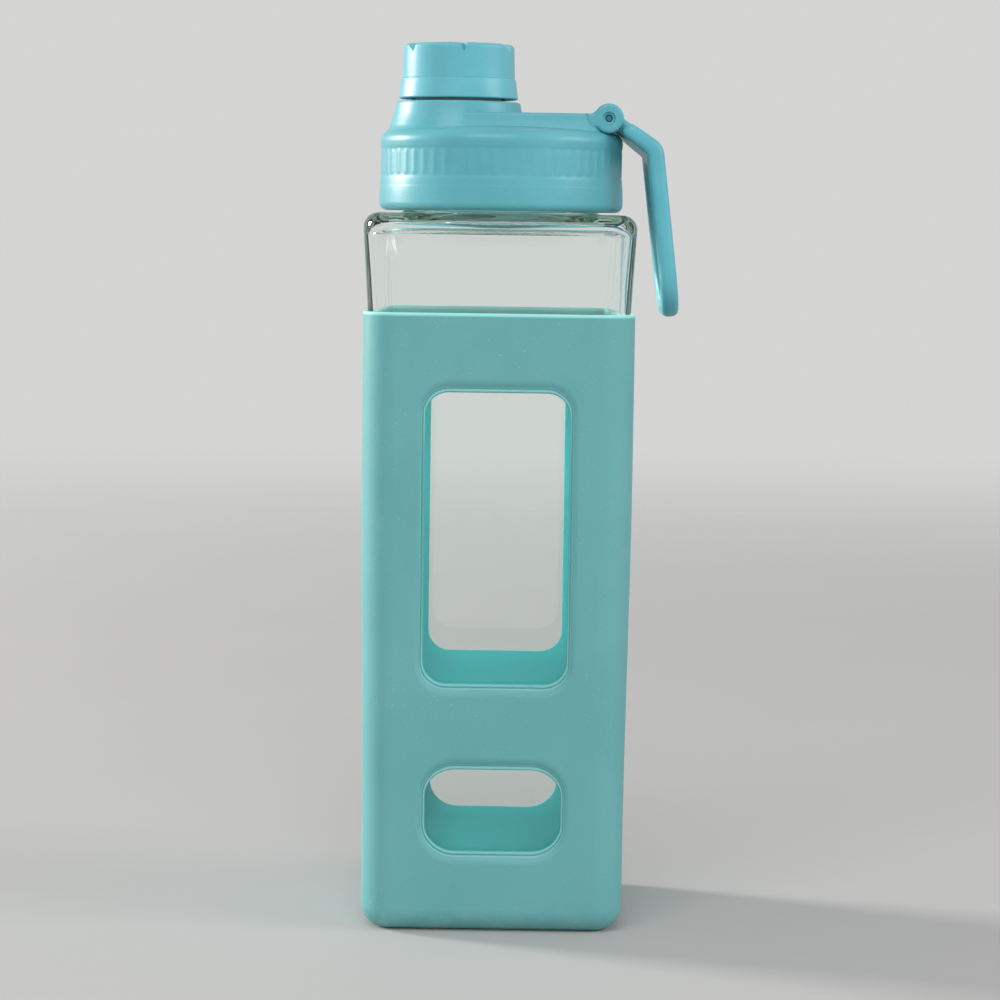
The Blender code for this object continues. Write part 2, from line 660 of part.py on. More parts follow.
def build_lid_insert(material):
    foot = LID_FOOT_Z + REST_GAP
    flange_radius = LID_BORE_RADIUS - REST_GAP
    profile = [
        (0.0, PLATE_Z),
        (INSERT_BORE_RADIUS, PLATE_Z),
        (INSERT_BORE_RADIUS, foot),
        (flange_radius, foot),
        (flange_radius, foot + INSERT_FLANGE),
        (INSERT_RADIUS, foot + INSERT_FLANGE),
        (INSERT_RADIUS, INSERT_TOP_Z),
        (0.0, INSERT_TOP_Z),
    ]
    insert = piece("lid_insert", turned(profile), material)
    spout = rod(SPOUT_RADIUS, PLATE_Z + INSERT_PLATE / 2, SPOUT_RIM_Z, SPOUT_RIM_ROUND)
    combine(insert, helper("spout_tube", spout, SPOUT_PLACE), "UNION")
    bore = rod(SPOUT_BORE_RADIUS, PLATE_Z - INSERT_PLATE, SPOUT_RIM_Z + INSERT_PLATE)
    combine(insert, helper("spout_bore", bore, SPOUT_PLACE), "DIFFERENCE")
    lug_z = NECK_LUG_Z - flank_offset(LUG_HEIGHT)
    lug_ring(insert, "lid", INSERT_BORE_RADIUS, LUG_HEIGHT - THREAD_GAP / 2, LID_LUG_TURNS, lug_z, 0.0, True)
    spout_ridge = ridge(
        "spout_ridge",
        SPOUT_RADIUS,
        SPOUT_THREAD_HEIGHT,
        SPOUT_THREAD_LEAD,
        SPOUT_THREAD_TURNS,
        SPOUT_THREAD_FOOT,
        0.0,
        SPOUT_THREAD_FADE,
        place=SPOUT_PLACE,
    )
    combine(insert, spout_ridge, "UNION")
    return insert


def build_lid_gasket(material):
    outer = INSERT_BORE_RADIUS - REST_GAP
    ring = washer(NECK_BORE_RADIUS, outer, LID_GASKET_Z, LID_GASKET_Z + LID_GASKET_THICKNESS)
    return piece("lid_gasket", ring, material)


def notch_wedge():
    """A V-shaped cutter that deepens outwards through the cap's top rim, along +X."""
    steepness = CAP_NOTCH_WIDTH / 2 / CAP_NOTCH_DEPTH
    rings = []
    for along in (0.0, 2 * CAP_NOTCH_LENGTH):
        depth = CAP_NOTCH_DEPTH * along / CAP_NOTCH_LENGTH
        radius = CAP_TOP_RADIUS - CAP_NOTCH_LENGTH + along
        half = steepness * (depth + CAP_NOTCH_DEPTH)
        top = CAP_TOP_Z + CAP_NOTCH_DEPTH
        rings.append(
            [
                Vector((radius, 0.0, CAP_TOP_Z - depth)),
                Vector((radius, half, top)),
                Vector((radius, -half, top)),
            ]
        )
    return loft(rings)


def build_spout_cap(material):
    step_z = CAP_FOOT_Z + CAP_STEP_HEIGHT
    profile = [
        (0.0, CAP_CEILING_Z),
        (CAP_BORE_RADIUS, CAP_CEILING_Z),
        (CAP_BORE_RADIUS, CAP_FOOT_Z),
        (CAP_FOOT_RADIUS - CAP_STEP_DEPTH, CAP_FOOT_Z),
        (CAP_FOOT_RADIUS, CAP_FOOT_Z + CAP_STEP_DEPTH),
        (CAP_STEP_RADIUS, step_z),
        (CAP_STEP_RADIUS - CAP_STEP_DEPTH, step_z + CAP_STEP_DEPTH),
    ]
    profile += arc((CAP_TOP_RADIUS - CAP_EDGE, CAP_TOP_Z - CAP_EDGE), CAP_EDGE, 0, 90)
    profile.append((0.0, CAP_TOP_Z))
    cap = piece("spout_cap", turned(profile), material, SPOUT_PLACE)
    cap_ridge = ridge(
        "cap_ridge",
        CAP_BORE_RADIUS,
        SPOUT_THREAD_HEIGHT - THREAD_GAP / 2,
        SPOUT_THREAD_LEAD,
        SPOUT_THREAD_TURNS,
        SPOUT_THREAD_FOOT - flank_offset(SPOUT_THREAD_HEIGHT),
        0.0,
        SPOUT_THREAD_FADE,
        inward=True,
        place=SPOUT_PLACE,
    )
    combine(cap, cap_ridge, "UNION")
    for index in range(CAP_NOTCHES):
        wedge = helper(f"cap_notch_{index + 1}", notch_wedge(), SPOUT_PLACE)
        wedge.rotation_euler.z = CAP_NOTCH_TURN + 2 * math.pi * index / CAP_NOTCHES
        combine(cap, wedge, "DIFFERENCE")
    return cap


def build_cap_gasket(material):
    outer = CAP_BORE_RADIUS - REST_GAP
    ring = washer(SPOUT_BORE_RADIUS, outer, CAP_GASKET_Z, CAP_GASKET_Z + CAP_GASKET_THICKNESS)
    return piece("cap_gasket", ring, material, SPOUT_PLACE)


def handle_outline():
    """Side view of the bent plate: from inside the barrel along the web, round the bend and tip, and back."""
    half = HANDLE_THICKNESS / 2
    web_angle = 90 - math.degrees(WEB_SLOPE)
    leg_angle = math.degrees(LEG_LEAN)
    tangent = BEND_RADIUS * math.tan(math.radians(web_angle - leg_angle) / 2)
    start = WEB_ACROSS * HANDLE_OFFSET + WEB_ALONG * (BORE_RADIUS + BARREL_RADIUS) / 2
    centre = BEND_POINT - WEB_ALONG * tangent - WEB_ACROSS * BEND_RADIUS
    tip = BEND_POINT + LEG_ALONG * (LEG_LENGTH - half)
    outline = [tuple(start + WEB_ACROSS * half)]
    outline += arc(centre, BEND_RADIUS + half, web_angle, leg_angle)
    outline += arc(tip, half, leg_angle, leg_angle - 180, 2 * FILLET_STEPS)
    outline += arc(centre, BEND_RADIUS - half, leg_angle, web_angle)
    outline.append(tuple(start - WEB_ACROSS * half))
    return outline


def leg_space(along, across, outwards):
    """A point given in the plane of the handle's legs: down the leg from the bend, along Y, and outwards."""
    point = BEND_POINT + LEG_ALONG * along + LEG_OUT * outwards
    return Vector((point.x, across, point.y))


def build_carry_handle(material):
    half = HANDLE_WIDTH / 2
    over = HANDLE_THICKNESS
    plate = extruded(handle_outline(), side_view, -half - over, half + over)
    handle = piece("carry_handle", plate, material, HINGE_PLACE)
    reach = 2 * (WEB_LENGTH + BARREL_RADIUS)
    trim_outline = rounded_box(-reach, LEG_LENGTH + REST_GAP, -half, half, over, LOOP_CORNER)
    trim = extruded(trim_outline, leg_space, -reach, reach)
    combine(handle, helper("handle_trim", trim, HINGE_PLACE), "INTERSECT")
    hole_half = HOLE_WIDTH / 2
    hole_end = LEG_LENGTH - LOOP_END_BAR
    end_corner = LOOP_CORNER - LOOP_END_BAR
    hole_outline = rounded_box(HOLE_TOP, hole_end, -hole_half, hole_half, HOLE_CORNER, end_corner)
    hole = extruded(hole_outline, leg_space, -2 * over, 2 * over)
    combine(handle, helper("finger_hole", hole, HINGE_PLACE), "DIFFERENCE")
    for label, low, high in (
        ("front", -half - 2 * over, -BARREL_HALF_WIDTH),
        ("back", BARREL_HALF_WIDTH, half + 2 * over),
    ):
        room = along_y(rod(EAR_RADIUS + SWING_GAP, low, high, steps=EAR_STEPS))
        combine(handle, helper(f"ear_room_{label}", room, HINGE_PLACE), "DIFFERENCE")
    barrel_section = [
        (BORE_RADIUS, -BARREL_HALF_WIDTH),
        (BARREL_RADIUS, -BARREL_HALF_WIDTH),
        (BARREL_RADIUS, BARREL_HALF_WIDTH),
        (BORE_RADIUS, BARREL_HALF_WIDTH),
    ]
    barrel = along_y(turned(barrel_section, EAR_STEPS, closed=True))
    combine(handle, helper("handle_barrel", barrel, HINGE_PLACE), "UNION")
    return handle


def build_hinge_pin(material):
    pin = along_y(rod(PIN_RADIUS, -PIN_HALF_LENGTH, PIN_HALF_LENGTH, PIN_EDGE, PIN_STEPS))
    return piece("hinge_pin", pin, material, HINGE_PLACE)


def main():
    clear_scene()
    build_glass(finish("clear_glass", GLASS_COLOUR, GLASS_ROUGHNESS, transmission=1.0))
    build_sleeve(finish("aqua_silicone", SLEEVE_COLOUR, RUBBER_ROUGHNESS))
    build_lid_shell(finish("aqua_lid_plastic", LID_COLOUR, PLASTIC_ROUGHNESS))
    build_lid_insert(finish("pale_insert_plastic", INSERT_COLOUR, PLASTIC_ROUGHNESS))
    build_lid_gasket(finish("clear_lid_silicone", GASKET_COLOUR, RUBBER_ROUGHNESS))
    build_spout_cap(finish("aqua_cap_plastic", LID_COLOUR, PLASTIC_ROUGHNESS))
    build_cap_gasket(finish("clear_cap_silicone", GASKET_COLOUR, RUBBER_ROUGHNESS))
    build_carry_handle(finish("aqua_handle_plastic", LID_COLOUR, PLASTIC_ROUGHNESS))
    build_hinge_pin(finish("pin_steel", STEEL_COLOUR, STEEL_ROUGHNESS, metallic=1.0))


main()
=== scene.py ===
import math

import bmesh
import bpy
from mathutils import Matrix, Vector


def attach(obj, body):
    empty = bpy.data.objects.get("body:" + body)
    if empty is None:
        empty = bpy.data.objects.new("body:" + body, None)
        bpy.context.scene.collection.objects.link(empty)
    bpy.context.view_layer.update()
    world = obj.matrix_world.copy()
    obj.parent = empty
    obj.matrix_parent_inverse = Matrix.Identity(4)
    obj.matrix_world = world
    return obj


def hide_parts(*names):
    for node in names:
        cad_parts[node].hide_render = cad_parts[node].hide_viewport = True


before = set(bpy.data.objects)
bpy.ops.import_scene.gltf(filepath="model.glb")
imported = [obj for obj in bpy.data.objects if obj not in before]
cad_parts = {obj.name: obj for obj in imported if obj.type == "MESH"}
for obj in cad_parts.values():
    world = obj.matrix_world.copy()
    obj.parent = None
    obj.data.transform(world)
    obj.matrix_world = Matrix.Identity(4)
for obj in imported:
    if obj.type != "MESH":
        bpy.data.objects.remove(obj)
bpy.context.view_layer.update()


# Glass bottle: a square jar of clear soda-lime glass with a faint green cast, blown in a mould, with
# rounded corners, a flat shoulder and a round neck. Four soft lugs on the neck hold the lid on.
CORNER = 0.0274  # corner centres that every square outline of the body shares
SIDE_AT_FOOT = 0.0085  # from the corner centres out to the sleeve's outside
SIDE_SPREAD = 0.00105  # how much further out the sleeve is at its top
SPREAD_START = 0.020  # it spreads between these two heights
SPREAD_END = 0.130
SLEEVE_TOP = 0.1695
SLEEVE_ROOM = 0.0018  # the sleeve's wall and its gap to the glass
LIP_START = 0.150  # from here up the sleeve's wall thins
LIP_THINNING = 0.0006
GLASS_FOOT = 0.0023
GLASS_FLOOR_THICK = 0.0060
GLASS_WALL = 0.0028
GLASS_FLARE = 0.00135  # how far the glass spreads between the sleeve and the shoulder
GLASS_FOOT_ROUND = 0.0045
GLASS_INNER_FOOT_ROUND = 0.0025
BODY_LEVELS = [z / 1000 for z in (20, 35, 50, 65, 80, 95, 110, 130, 150, 157, 163, 169.5, 180)]
SHOULDER_TOP = 0.1963
SHOULDER_THICK = 0.0030
SHOULDER_ROUND = 0.0040
SHOULDER_INNER_ROUND = 0.0030
SHOULDER_RISE = 0.00015  # the shoulder falls this little from the neck to its edge
NECK_RIM = 0.2121
NECK_RADIUS = 0.0265
NECK_BORE = 0.0230
NECK_RIM_ROUND = 0.0008
NECK_FOOT_ROUND = 0.0015
NECK_RINGS = 44  # rings of vertices, close enough together to take the lugs
RING_STEP = 0.0003
LUGS = 4
LUG_LEAD = 0.006  # how far a lug's slant would climb in a whole turn
NECK_LUG = {"height": 0.0011, "lead": LUG_LEAD, "turns": 0.112, "foot": 0.20726, "run_out": 0.02}
RIDGE_ROOT = 0.00095  # half widths of a lug or a thread at its root and at its crest
RIDGE_CREST = 0.00050


def share(value, low, high):
    """How far a value has come from one limit to another, from 0 to 1."""
    return min(max((value - low) / (high - low), 0.0), 1.0)


def eased(part):
    """A share with a soft start and a soft end."""
    part = min(max(part, 0.0), 1.0)
    return part * part * (3 - 2 * part)


def sleeve_side(z):
    """How far the sleeve's outside lies beyond the corner centres at this height."""
    return SIDE_AT_FOOT + SIDE_SPREAD * eased(share(z, SPREAD_START, SPREAD_END))


def glass_side(z):
    """The same for the glass, which fills the sleeve and flares above it."""
    in_lip = share(z, LIP_START, SLEEVE_TOP) ** 1.5
    above = share(z, SLEEVE_TOP, SHOULDER_TOP - SHOULDER_ROUND)
    return sleeve_side(z) - SLEEVE_ROOM + LIP_THINNING * in_lip + GLASS_FLARE * above


def bend(centre, radius, start, end, steps):
    """Points on an arc, both ends included, with the angles in degrees."""
    angles = [math.radians(start + (end - start) * step / steps) for step in range(steps + 1)]
    return [(centre[0] + radius * math.cos(a), centre[1] + radius * math.sin(a)) for a in angles]


def rounded_face(bm, half_x, half_y, corner, segments, z):
    """One level face with rounded corners, facing up."""
    corners = bmesh.ops.create_grid(bm, x_segments=1, y_segments=1, size=1.0)["verts"]
    bmesh.ops.scale(bm, verts=corners, vec=(half_x, half_y, 1.0))
    bmesh.ops.translate(bm, verts=corners, vec=(0.0, 0.0, z))
    rounded = bmesh.ops.bevel(
        bm, geom=corners, offset=corner, segments=segments, profile=0.5, affect="VERTICES", material=-1
    )
    return rounded["verts"][0].link_faces[0]


def grow(bm, face, stations):
    """Carries a level face through (reach, height) stations, leaving a wall behind it."""
    for (reach, z), (next_reach, next_z) in zip(stations, stations[1:]):
        bmesh.ops.inset_region(
            bm,
            faces=[face],
            thickness=reach - next_reach,
            depth=next_z - z,
            use_boundary=True,
            use_even_offset=True,
        )
    return face


def turned(bm, profile, steps, axis_x=0.0):
    """Spins a run of (radius, height) points about an upright axis."""
    row = [bm.verts.new((axis_x + radius, 0.0, z)) for radius, z in profile]
    edges = [bm.edges.new(pair) for pair in zip(row, row[1:])]
    bmesh.ops.spin(
        bm,
        geom=row + edges,
        cent=(axis_x, 0.0, 0.0),
        axis=(0.0, 0.0, 1.0),
        angle=2 * math.pi,
        steps=steps,
        use_merge=True,
    )
    bmesh.ops.remove_doubles(bm, verts=bm.verts[:], dist=2e-6)


def turned_wall(bm, radius, slack, low, high, axis_x=0.0):
    """The vertices of a turned shape at this radius, between two heights."""
    return [
        vert
        for vert in bm.verts
        if abs(math.hypot(vert.co.x - axis_x, vert.co.y) - radius) < slack and low < vert.co.z < high
    ]


def push_out(vert, axis_x, distance):
    """Moves a vertex straight away from an upright axis."""
    dx = vert.co.x - axis_x
    stretch = 1 + distance / math.hypot(dx, vert.co.y)
    vert.co.x = axis_x + dx * stretch
    vert.co.y *= stretch


def raise_ridge(wall, start, height, lead, turns, foot, run_out, axis_x=0.0):
    """Lifts one slanting ridge, a lug or a thread, out of a finely turned wall. It runs out at both ends."""
    for vert in wall:
        turn = (math.atan2(vert.co.y, vert.co.x - axis_x) / (2 * math.pi) - start) % 1.0
        rise = 0.0
        while turn <= turns:
            off = abs(vert.co.z - foot - lead * turn)
            crest = eased((RIDGE_ROOT - off) / (RIDGE_ROOT - RIDGE_CREST))
            rise = max(rise, crest * eased(min(turn, turns - turn) / run_out))
            turn += 1.0
        push_out(vert, axis_x, height * rise)


def open_edges(bm, low, high):
    """The open edges that lie between two heights."""
    return [
        edge
        for edge in bm.edges
        if edge.is_boundary and all(low - 1e-5 < v.co.z < high + 1e-5 for v in edge.verts)
    ]


class Field:
    """A shader socket that Python's operators work on: each one adds a Math node."""

    def __init__(self, tree, socket=None):
        self.tree = tree
        self.socket = socket

    def node(self, kind, settings, values, output=0):
        """Any other node: its settings are set first, then the values or links of its sockets."""
        made = self.tree.nodes.new(kind)
        for name, value in settings.items():
            setattr(made, name, value)
        for name, value in values.items():
            if isinstance(value, Field):
                self.tree.links.new(value.socket, made.inputs[name])
            else:
                made.inputs[name].default_value = value
        return Field(self.tree, made.outputs[output])

    def math(self, operation, first, second):
        return self.node("ShaderNodeMath", {"operation": operation}, {0: first, 1: second})

    def __add__(self, other):
        return self.math("ADD", self, other)

    def __radd__(self, other):
        return self.math("ADD", other, self)

    def __sub__(self, other):
        return self.math("SUBTRACT", self, other)

    def __rsub__(self, other):
        return self.math("SUBTRACT", other, self)

    def __mul__(self, other):
        return self.math("MULTIPLY", self, other)

    def __rmul__(self, other):
        return self.math("MULTIPLY", other, self)

    def __truediv__(self, other):
        return self.math("DIVIDE", self, other)

    def __rtruediv__(self, other):
        return self.math("DIVIDE", other, self)

    def vector(self, operation, *others, output="Vector"):
        """A Vector Math node on this field and up to two more vectors."""
        values = dict(enumerate((self, *others)))
        return self.node("ShaderNodeVectorMath", {"operation": operation}, values, output)

    def ramp(self, low, high):
        """0 below one value and 1 above another, eased between them."""
        values = {"Value": self, "From Min": low, "From Max": high}
        return self.node("ShaderNodeMapRange", {"interpolation_type": "SMOOTHSTEP"}, values)

    def noise(self, scale, detail=2.0, roughness=0.5):
        values = {"Vector": self, "Scale": scale, "Detail": detail, "Roughness": roughness}
        return self.node("ShaderNodeTexNoise", {}, values)

    def tint(self, first, second):
        """A colour between two colours, by this field."""
        settings = {"data_type": "RGBA", "clamp_factor": True}
        return self.node("ShaderNodeMix", settings, {0: self, 6: first, 7: second}, output=2)

    def bump(self, distance, strength=1.0):
        return self.node("ShaderNodeBump", {}, {"Height": self, "Distance": distance, "Strength": strength})


def new_finish(name, **values):
    """A material, its Principled surface with these plain values, and its Object coordinates."""
    made = bpy.data.materials.new(name)
    made.use_nodes = True
    surface = made.node_tree.nodes["Principled BSDF"]
    for socket, value in values.items():
        surface.inputs[socket.replace("_", " ")].default_value = value
    spot = Field(made.node_tree).node("ShaderNodeTexCoord", {}, {}, output="Object")
    return made, surface, spot


def feed(surface, **fields):
    """Links what varies over a surface to its sockets."""
    for socket, field in fields.items():
        field.tree.links.new(field.socket, surface.inputs[socket.replace("_", " ")])


def linear(red, green, blue):
    """A linear colour from 8-bit display values."""
    shares = [value / 255 for value in (red, green, blue)]
    return (*[s / 12.92 if s <= 0.04045 else ((s + 0.055) / 1.055) ** 2.4 for s in shares], 1.0)


def set_down(name, bm, finish, body, node, sharp=38.0):
    """The finished piece: smooth, at the origin, riding on its body in place of its CAD node."""
    bmesh.ops.remove_doubles(bm, verts=bm.verts[:], dist=2e-6)
    bm.normal_update()
    bmesh.ops.recalc_face_normals(bm, faces=bm.faces[:])
    mesh = bpy.data.meshes.new(name)
    bm.to_mesh(mesh)
    bm.free()
    mesh.shade_smooth()
    mesh.set_sharp_from_angle(angle=math.radians(sharp))
    mesh.materials.append(finish)
    made = bpy.data.objects.new(name, mesh)
    bpy.context.scene.collection.objects.link(made)
    evened = made.modifiers.new("even_shading", "WEIGHTED_NORMAL")
    evened.keep_sharp = True
    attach(made, body)
    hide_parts(node)


def jar_wall(bm, inset, foot, foot_round, foot_steps, top, top_round, top_steps):
    """One wall of the square jar, from the edge of a floor to the edge of a shoulder, open at both."""
    foot_side = glass_side(foot) - inset
    top_side = glass_side(top) - inset
    wall = bend((foot_side - foot_round, foot + foot_round), foot_round, -90, 0, foot_steps)
    wall += [(glass_side(z) - inset, z) for z in BODY_LEVELS]
    wall += bend((top_side - top_round, top - top_round), top_round, 0, 90, top_steps)
    half = CORNER + wall[0][0]
    face = grow(bm, rounded_face(bm, half, half, wall[0][0], 31, foot), wall)
    bmesh.ops.delete(bm, geom=[face], context="FACES_ONLY")


glass = bmesh.new()
shoulder_root = SHOULDER_TOP + SHOULDER_RISE
neck = bend((NECK_RADIUS + NECK_FOOT_ROUND, shoulder_root + NECK_FOOT_ROUND), NECK_FOOT_ROUND, 270, 180, 5)
rim_foot = NECK_RIM - NECK_RIM_ROUND
neck += [(NECK_RADIUS, rim_foot - RING_STEP * ring) for ring in range(NECK_RINGS, 0, -1)]
neck += bend((NECK_RADIUS - NECK_RIM_ROUND, rim_foot), NECK_RIM_ROUND, 0, 90, 5)
neck += bend((NECK_BORE + NECK_RIM_ROUND, rim_foot), NECK_RIM_ROUND, 90, 180, 5)
neck += bend((NECK_BORE + NECK_FOOT_ROUND, shoulder_root - NECK_FOOT_ROUND), NECK_FOOT_ROUND, 180, 270, 5)
turned(glass, neck, 128)
neck_wall = turned_wall(glass, NECK_RADIUS, 0.0003, SHOULDER_TOP, NECK_RIM)
for lug in range(LUGS):
    raise_ridge(neck_wall, (lug + 0.5) / LUGS - NECK_LUG["turns"] / 2, **NECK_LUG)
glass_floor = GLASS_FOOT + GLASS_FLOOR_THICK
ceiling = SHOULDER_TOP - SHOULDER_THICK
jar_wall(glass, 0.0, GLASS_FOOT, GLASS_FOOT_ROUND, 8, SHOULDER_TOP, SHOULDER_ROUND, 12)
jar_wall(glass, GLASS_WALL, glass_floor, GLASS_INNER_FOOT_ROUND, 6, ceiling, SHOULDER_INNER_ROUND, 8)
for level in (SHOULDER_TOP, ceiling):
    bmesh.ops.bridge_loops(glass, edges=open_edges(glass, level, level + SHOULDER_RISE))
for level in (GLASS_FOOT, glass_floor):
    bmesh.ops.holes_fill(glass, edges=open_edges(glass, level, level), sides=0)

clear_glass, surface, spot = new_finish(
    "clear_glass", Base_Color=(0.985, 1.0, 0.992, 1.0), IOR=1.5, Transmission_Weight=1.0
)
film = spot.noise(38.0, 3.0)
ripple = spot.noise(55.0, 1.0)
feed(surface, Roughness=0.004 + film * 0.014, Normal=ripple.bump(0.0002, 0.35))
tree = clear_glass.node_tree
nodes = Field(tree)
cast = nodes.node("ShaderNodeVolumeAbsorption", {}, {"Color": (0.62, 0.90, 0.78, 1.0), "Density": 22.0})
passed_light = nodes.node("ShaderNodeBsdfTransparent", {}, {"Color": (0.97, 0.985, 0.98, 1.0)})
shown = Field(tree, surface.outputs[0])
for ray in ("Is Shadow Ray", "Is Diffuse Ray"):  # lamps and soft light reach what stands behind the glass
    path = nodes.node("ShaderNodeLightPath", {}, {}, output=ray)
    shown = nodes.node("ShaderNodeMixShader", {}, {0: path, 1: shown, 2: passed_light})
tree.links.new(shown.socket, tree.nodes["Material Output"].inputs["Surface"])
tree.links.new(cast.socket, tree.nodes["Material Output"].inputs["Volume"])
set_down("clear_jar", glass, clear_glass, "bottle", "glass_bottle")


# Silicone sleeve: one soft aqua moulding pulled over the glass, with a closed base and two openings in the
# front and in the back. Each opening has a dished rim with a fine bead. Only its stretch holds it on.
SLEEVE_GAP = 0.0003
SLEEVE_FLOOR = 0.0020
SLEEVE_FOOT_ROUND = 0.0065
SLEEVE_INNER_ROUND = 0.0048
TALL_OPENING = (0.0396, 0.0684, 0.1485, 0.0066)  # width, foot, top and corner radius
SMALL_OPENING = (0.0376, 0.0222, 0.0455, 0.0086)
DISH_SIDE = 0.0022  # how wide the dished rims are at the sides and at the ends of an opening
DISH_END = 0.0034
DISH_DEPTH = 0.00115
DISH_SHARE = 0.8  # of that width, after which the bead starts
# the bead and the edge after it: share of the width that is passed, height below the bottom of the dish
BEAD = [(0.86, -0.00016), (0.92, -0.00026), (0.98, -0.00029), (1.04, -0.00022)]
BEAD += [(1.08, -0.00008), (1.105, 0.0001), (1.12, 0.0003)]
PLUG_PROUD = 0.0020  # how far the plug of an opening stands out of the sleeve, and reaches into it
PLUG_REACH = 0.0030


def as_shape(bm):
    """A helper object made from a closed bmesh."""
    bm.normal_update()
    bmesh.ops.recalc_face_normals(bm, faces=bm.faces[:])
    mesh = bpy.data.meshes.new("shape")
    bm.to_mesh(mesh)
    bm.free()
    made = bpy.data.objects.new("shape", mesh)
    bpy.context.scene.collection.objects.link(made)
    return made


def combined(bm, tools):
    """A closed shape joined to others or cut by them, in order. tools holds (bmesh, operation) pairs."""
    target = as_shape(bm)
    others = [as_shape(tool) for tool, operation in tools]
    for other, (tool, operation) in zip(others, tools):
        step = target.modifiers.new("step", "BOOLEAN")
        step.solver = "EXACT"
        step.operation = operation
        step.object = other
    result = bmesh.new()
    result.from_object(target, bpy.context.evaluated_depsgraph_get())
    for used in [target] + others:
        bpy.data.objects.remove(used)
    return result


def opening_plug(width, foot, top, corner, side):
    """The shape that an opening takes out of the sleeve: a dished rim, a fine bead, then a straight wall."""
    bm = bmesh.new()
    half_width = width / 2 + DISH_SIDE
    half_height = (top - foot) / 2 + DISH_END
    outer = rounded_face(bm, half_width, half_height, corner + DISH_SIDE, 16, PLUG_PROUD)
    made = bmesh.ops.extrude_face_region(bm, geom=[outer])
    face = [g for g in made["geom"] if isinstance(g, bmesh.types.BMFace)][0]
    bmesh.ops.translate(bm, verts=face.verts[:], vec=(0.0, 0.0, -PLUG_PROUD))
    bm.normal_update()
    steps = [(DISH_SHARE * step / 8, DISH_DEPTH * (step / 8) ** 2) for step in range(9)]
    steps += [(passed, DISH_DEPTH + lower) for passed, lower in BEAD]
    steps.append((BEAD[-1][0], PLUG_REACH))
    for (passed, depth), (next_passed, next_depth) in zip(steps, steps[1:]):
        part = next_passed - passed
        grow(bm, face, [(DISH_SIDE * part, -depth), (0.0, -next_depth)])
        half = max(vert.co.y for vert in face.verts)
        shorter = 1 - (DISH_END - DISH_SIDE) * part / half
        bmesh.ops.scale(bm, verts=face.verts[:], vec=(1.0, shorter, 1.0))
    for vert in bm.verts:
        z = (foot + top) / 2 + vert.co.y
        vert.co = Vector((vert.co.x, side * (CORNER + sleeve_side(z) + vert.co.z), z))
    return bm


sleeve = bmesh.new()
lip = glass_side(SLEEVE_TOP) + SLEEVE_GAP
lip_round = (sleeve_side(SLEEVE_TOP) - lip) / 2
foot_side = sleeve_side(0.0) - SLEEVE_FOOT_ROUND
inner_side = glass_side(SLEEVE_FLOOR) + SLEEVE_GAP - SLEEVE_INNER_ROUND
shell = bend((foot_side, SLEEVE_FOOT_ROUND), SLEEVE_FOOT_ROUND, -90, 0, 10)
shell += [(sleeve_side(z / 1000), z / 1000) for z in range(10, 169, 6)]
shell += bend((lip + lip_round, SLEEVE_TOP - lip_round), lip_round, 0, 180, 8)
shell += [(glass_side(z / 1000) + SLEEVE_GAP, z / 1000) for z in range(166, 7, -6)]
shell += bend((inner_side, SLEEVE_FLOOR + SLEEVE_INNER_ROUND), SLEEVE_INNER_ROUND, 0, -90, 6)
half = CORNER + foot_side
grow(sleeve, rounded_face(sleeve, half, half, foot_side, 23, 0.0), shell)
bmesh.ops.holes_fill(sleeve, edges=open_edges(sleeve, 0.0, 0.0), sides=0)
plugs = [opening_plug(*opening, facing) for facing in (-1, 1) for opening in (TALL_OPENING, SMALL_OPENING)]
sleeve = combined(sleeve, [(plug, "DIFFERENCE") for plug in plugs])

aqua_silicone, surface, spot = new_finish(
    "aqua_silicone",
    Specular_IOR_Level=0.4,
    Subsurface_Weight=0.5,
    Subsurface_Radius=(0.4, 1.0, 1.0),
    Subsurface_Scale=0.0012,
)
height = spot.node("ShaderNodeSeparateXYZ", {}, {"Vector": spot}, output="Z")
cloud = spot.noise(26.0, 3.0, 0.55).ramp(0.35, 0.65)
handled = spot.noise(11.0, 4.0, 0.6).ramp(0.45, 0.68)
dust = spot.noise(900.0, 2.0, 0.6)
grain = spot.noise(3200.0, 1.0)
lint = spot.noise(1500.0, 1.0).ramp(0.70, 0.77)
scuffs = spot.noise(230.0, 3.0, 0.65).ramp(0.46, 0.66) * (1 - height.ramp(0.001, 0.009))
# painted light: the top of the lip is painted paler, standing in for light shining through the thin silicone
# there
lit_through_lip = height.ramp(0.1683, 0.1690)
# how far a point lies beyond the corner centres, and from that how far below the sleeve's outside
beyond = spot.vector("ABSOLUTE").vector("SUBTRACT", (CORNER, CORNER, 1.0)).vector("MAXIMUM", (0.0, 0.0, 0.0))
reach = beyond.vector("LENGTH", output="Value")
depth = SIDE_AT_FOOT + height.ramp(SPREAD_START, SPREAD_END) * SIDE_SPREAD - reach
# painted light: the sleeve's inside faces and inner floor are painted bright cyan, standing in for light
# soaking through the wall and bouncing about inside
lit_inside = depth.ramp(0.00125, 0.00145) * height.ramp(0.0067, 0.0083)
lit_inside = lit_inside + (1 - reach.ramp(0.0038, 0.0046)) * height.ramp(0.0014, 0.0018)
# painted highlight: the bead round each opening is painted pale mint, standing in for light caught on its
# rounded edge
highlit_bead = depth.ramp(0.00074, 0.00083) * (1 - depth.ramp(0.00092, 0.00101)) * height.ramp(0.012, 0.016)
colour = cloud.tint(linear(100, 165, 167), linear(105, 169, 171))
colour = (highlit_bead * 0.45).tint(colour, linear(146, 212, 206))
colour = (lint * 0.3).tint(colour, linear(165, 208, 207))
colour = (scuffs * 0.4).tint(colour, linear(138, 182, 179))
colour = lit_through_lip.tint(colour, linear(156, 219, 216))
colour = lit_inside.tint(colour, linear(94, 236, 240))
feed(
    surface,
    Base_Color=colour,
    Roughness=0.50 + dust * 0.12 - handled * 0.07,
    Normal=(grain + dust * 0.6 + lint * 0.8).bump(0.00004, 0.5),
)
set_down("soft_sleeve", sleeve, aqua_silicone, "bottle", "silicone_sleeve")


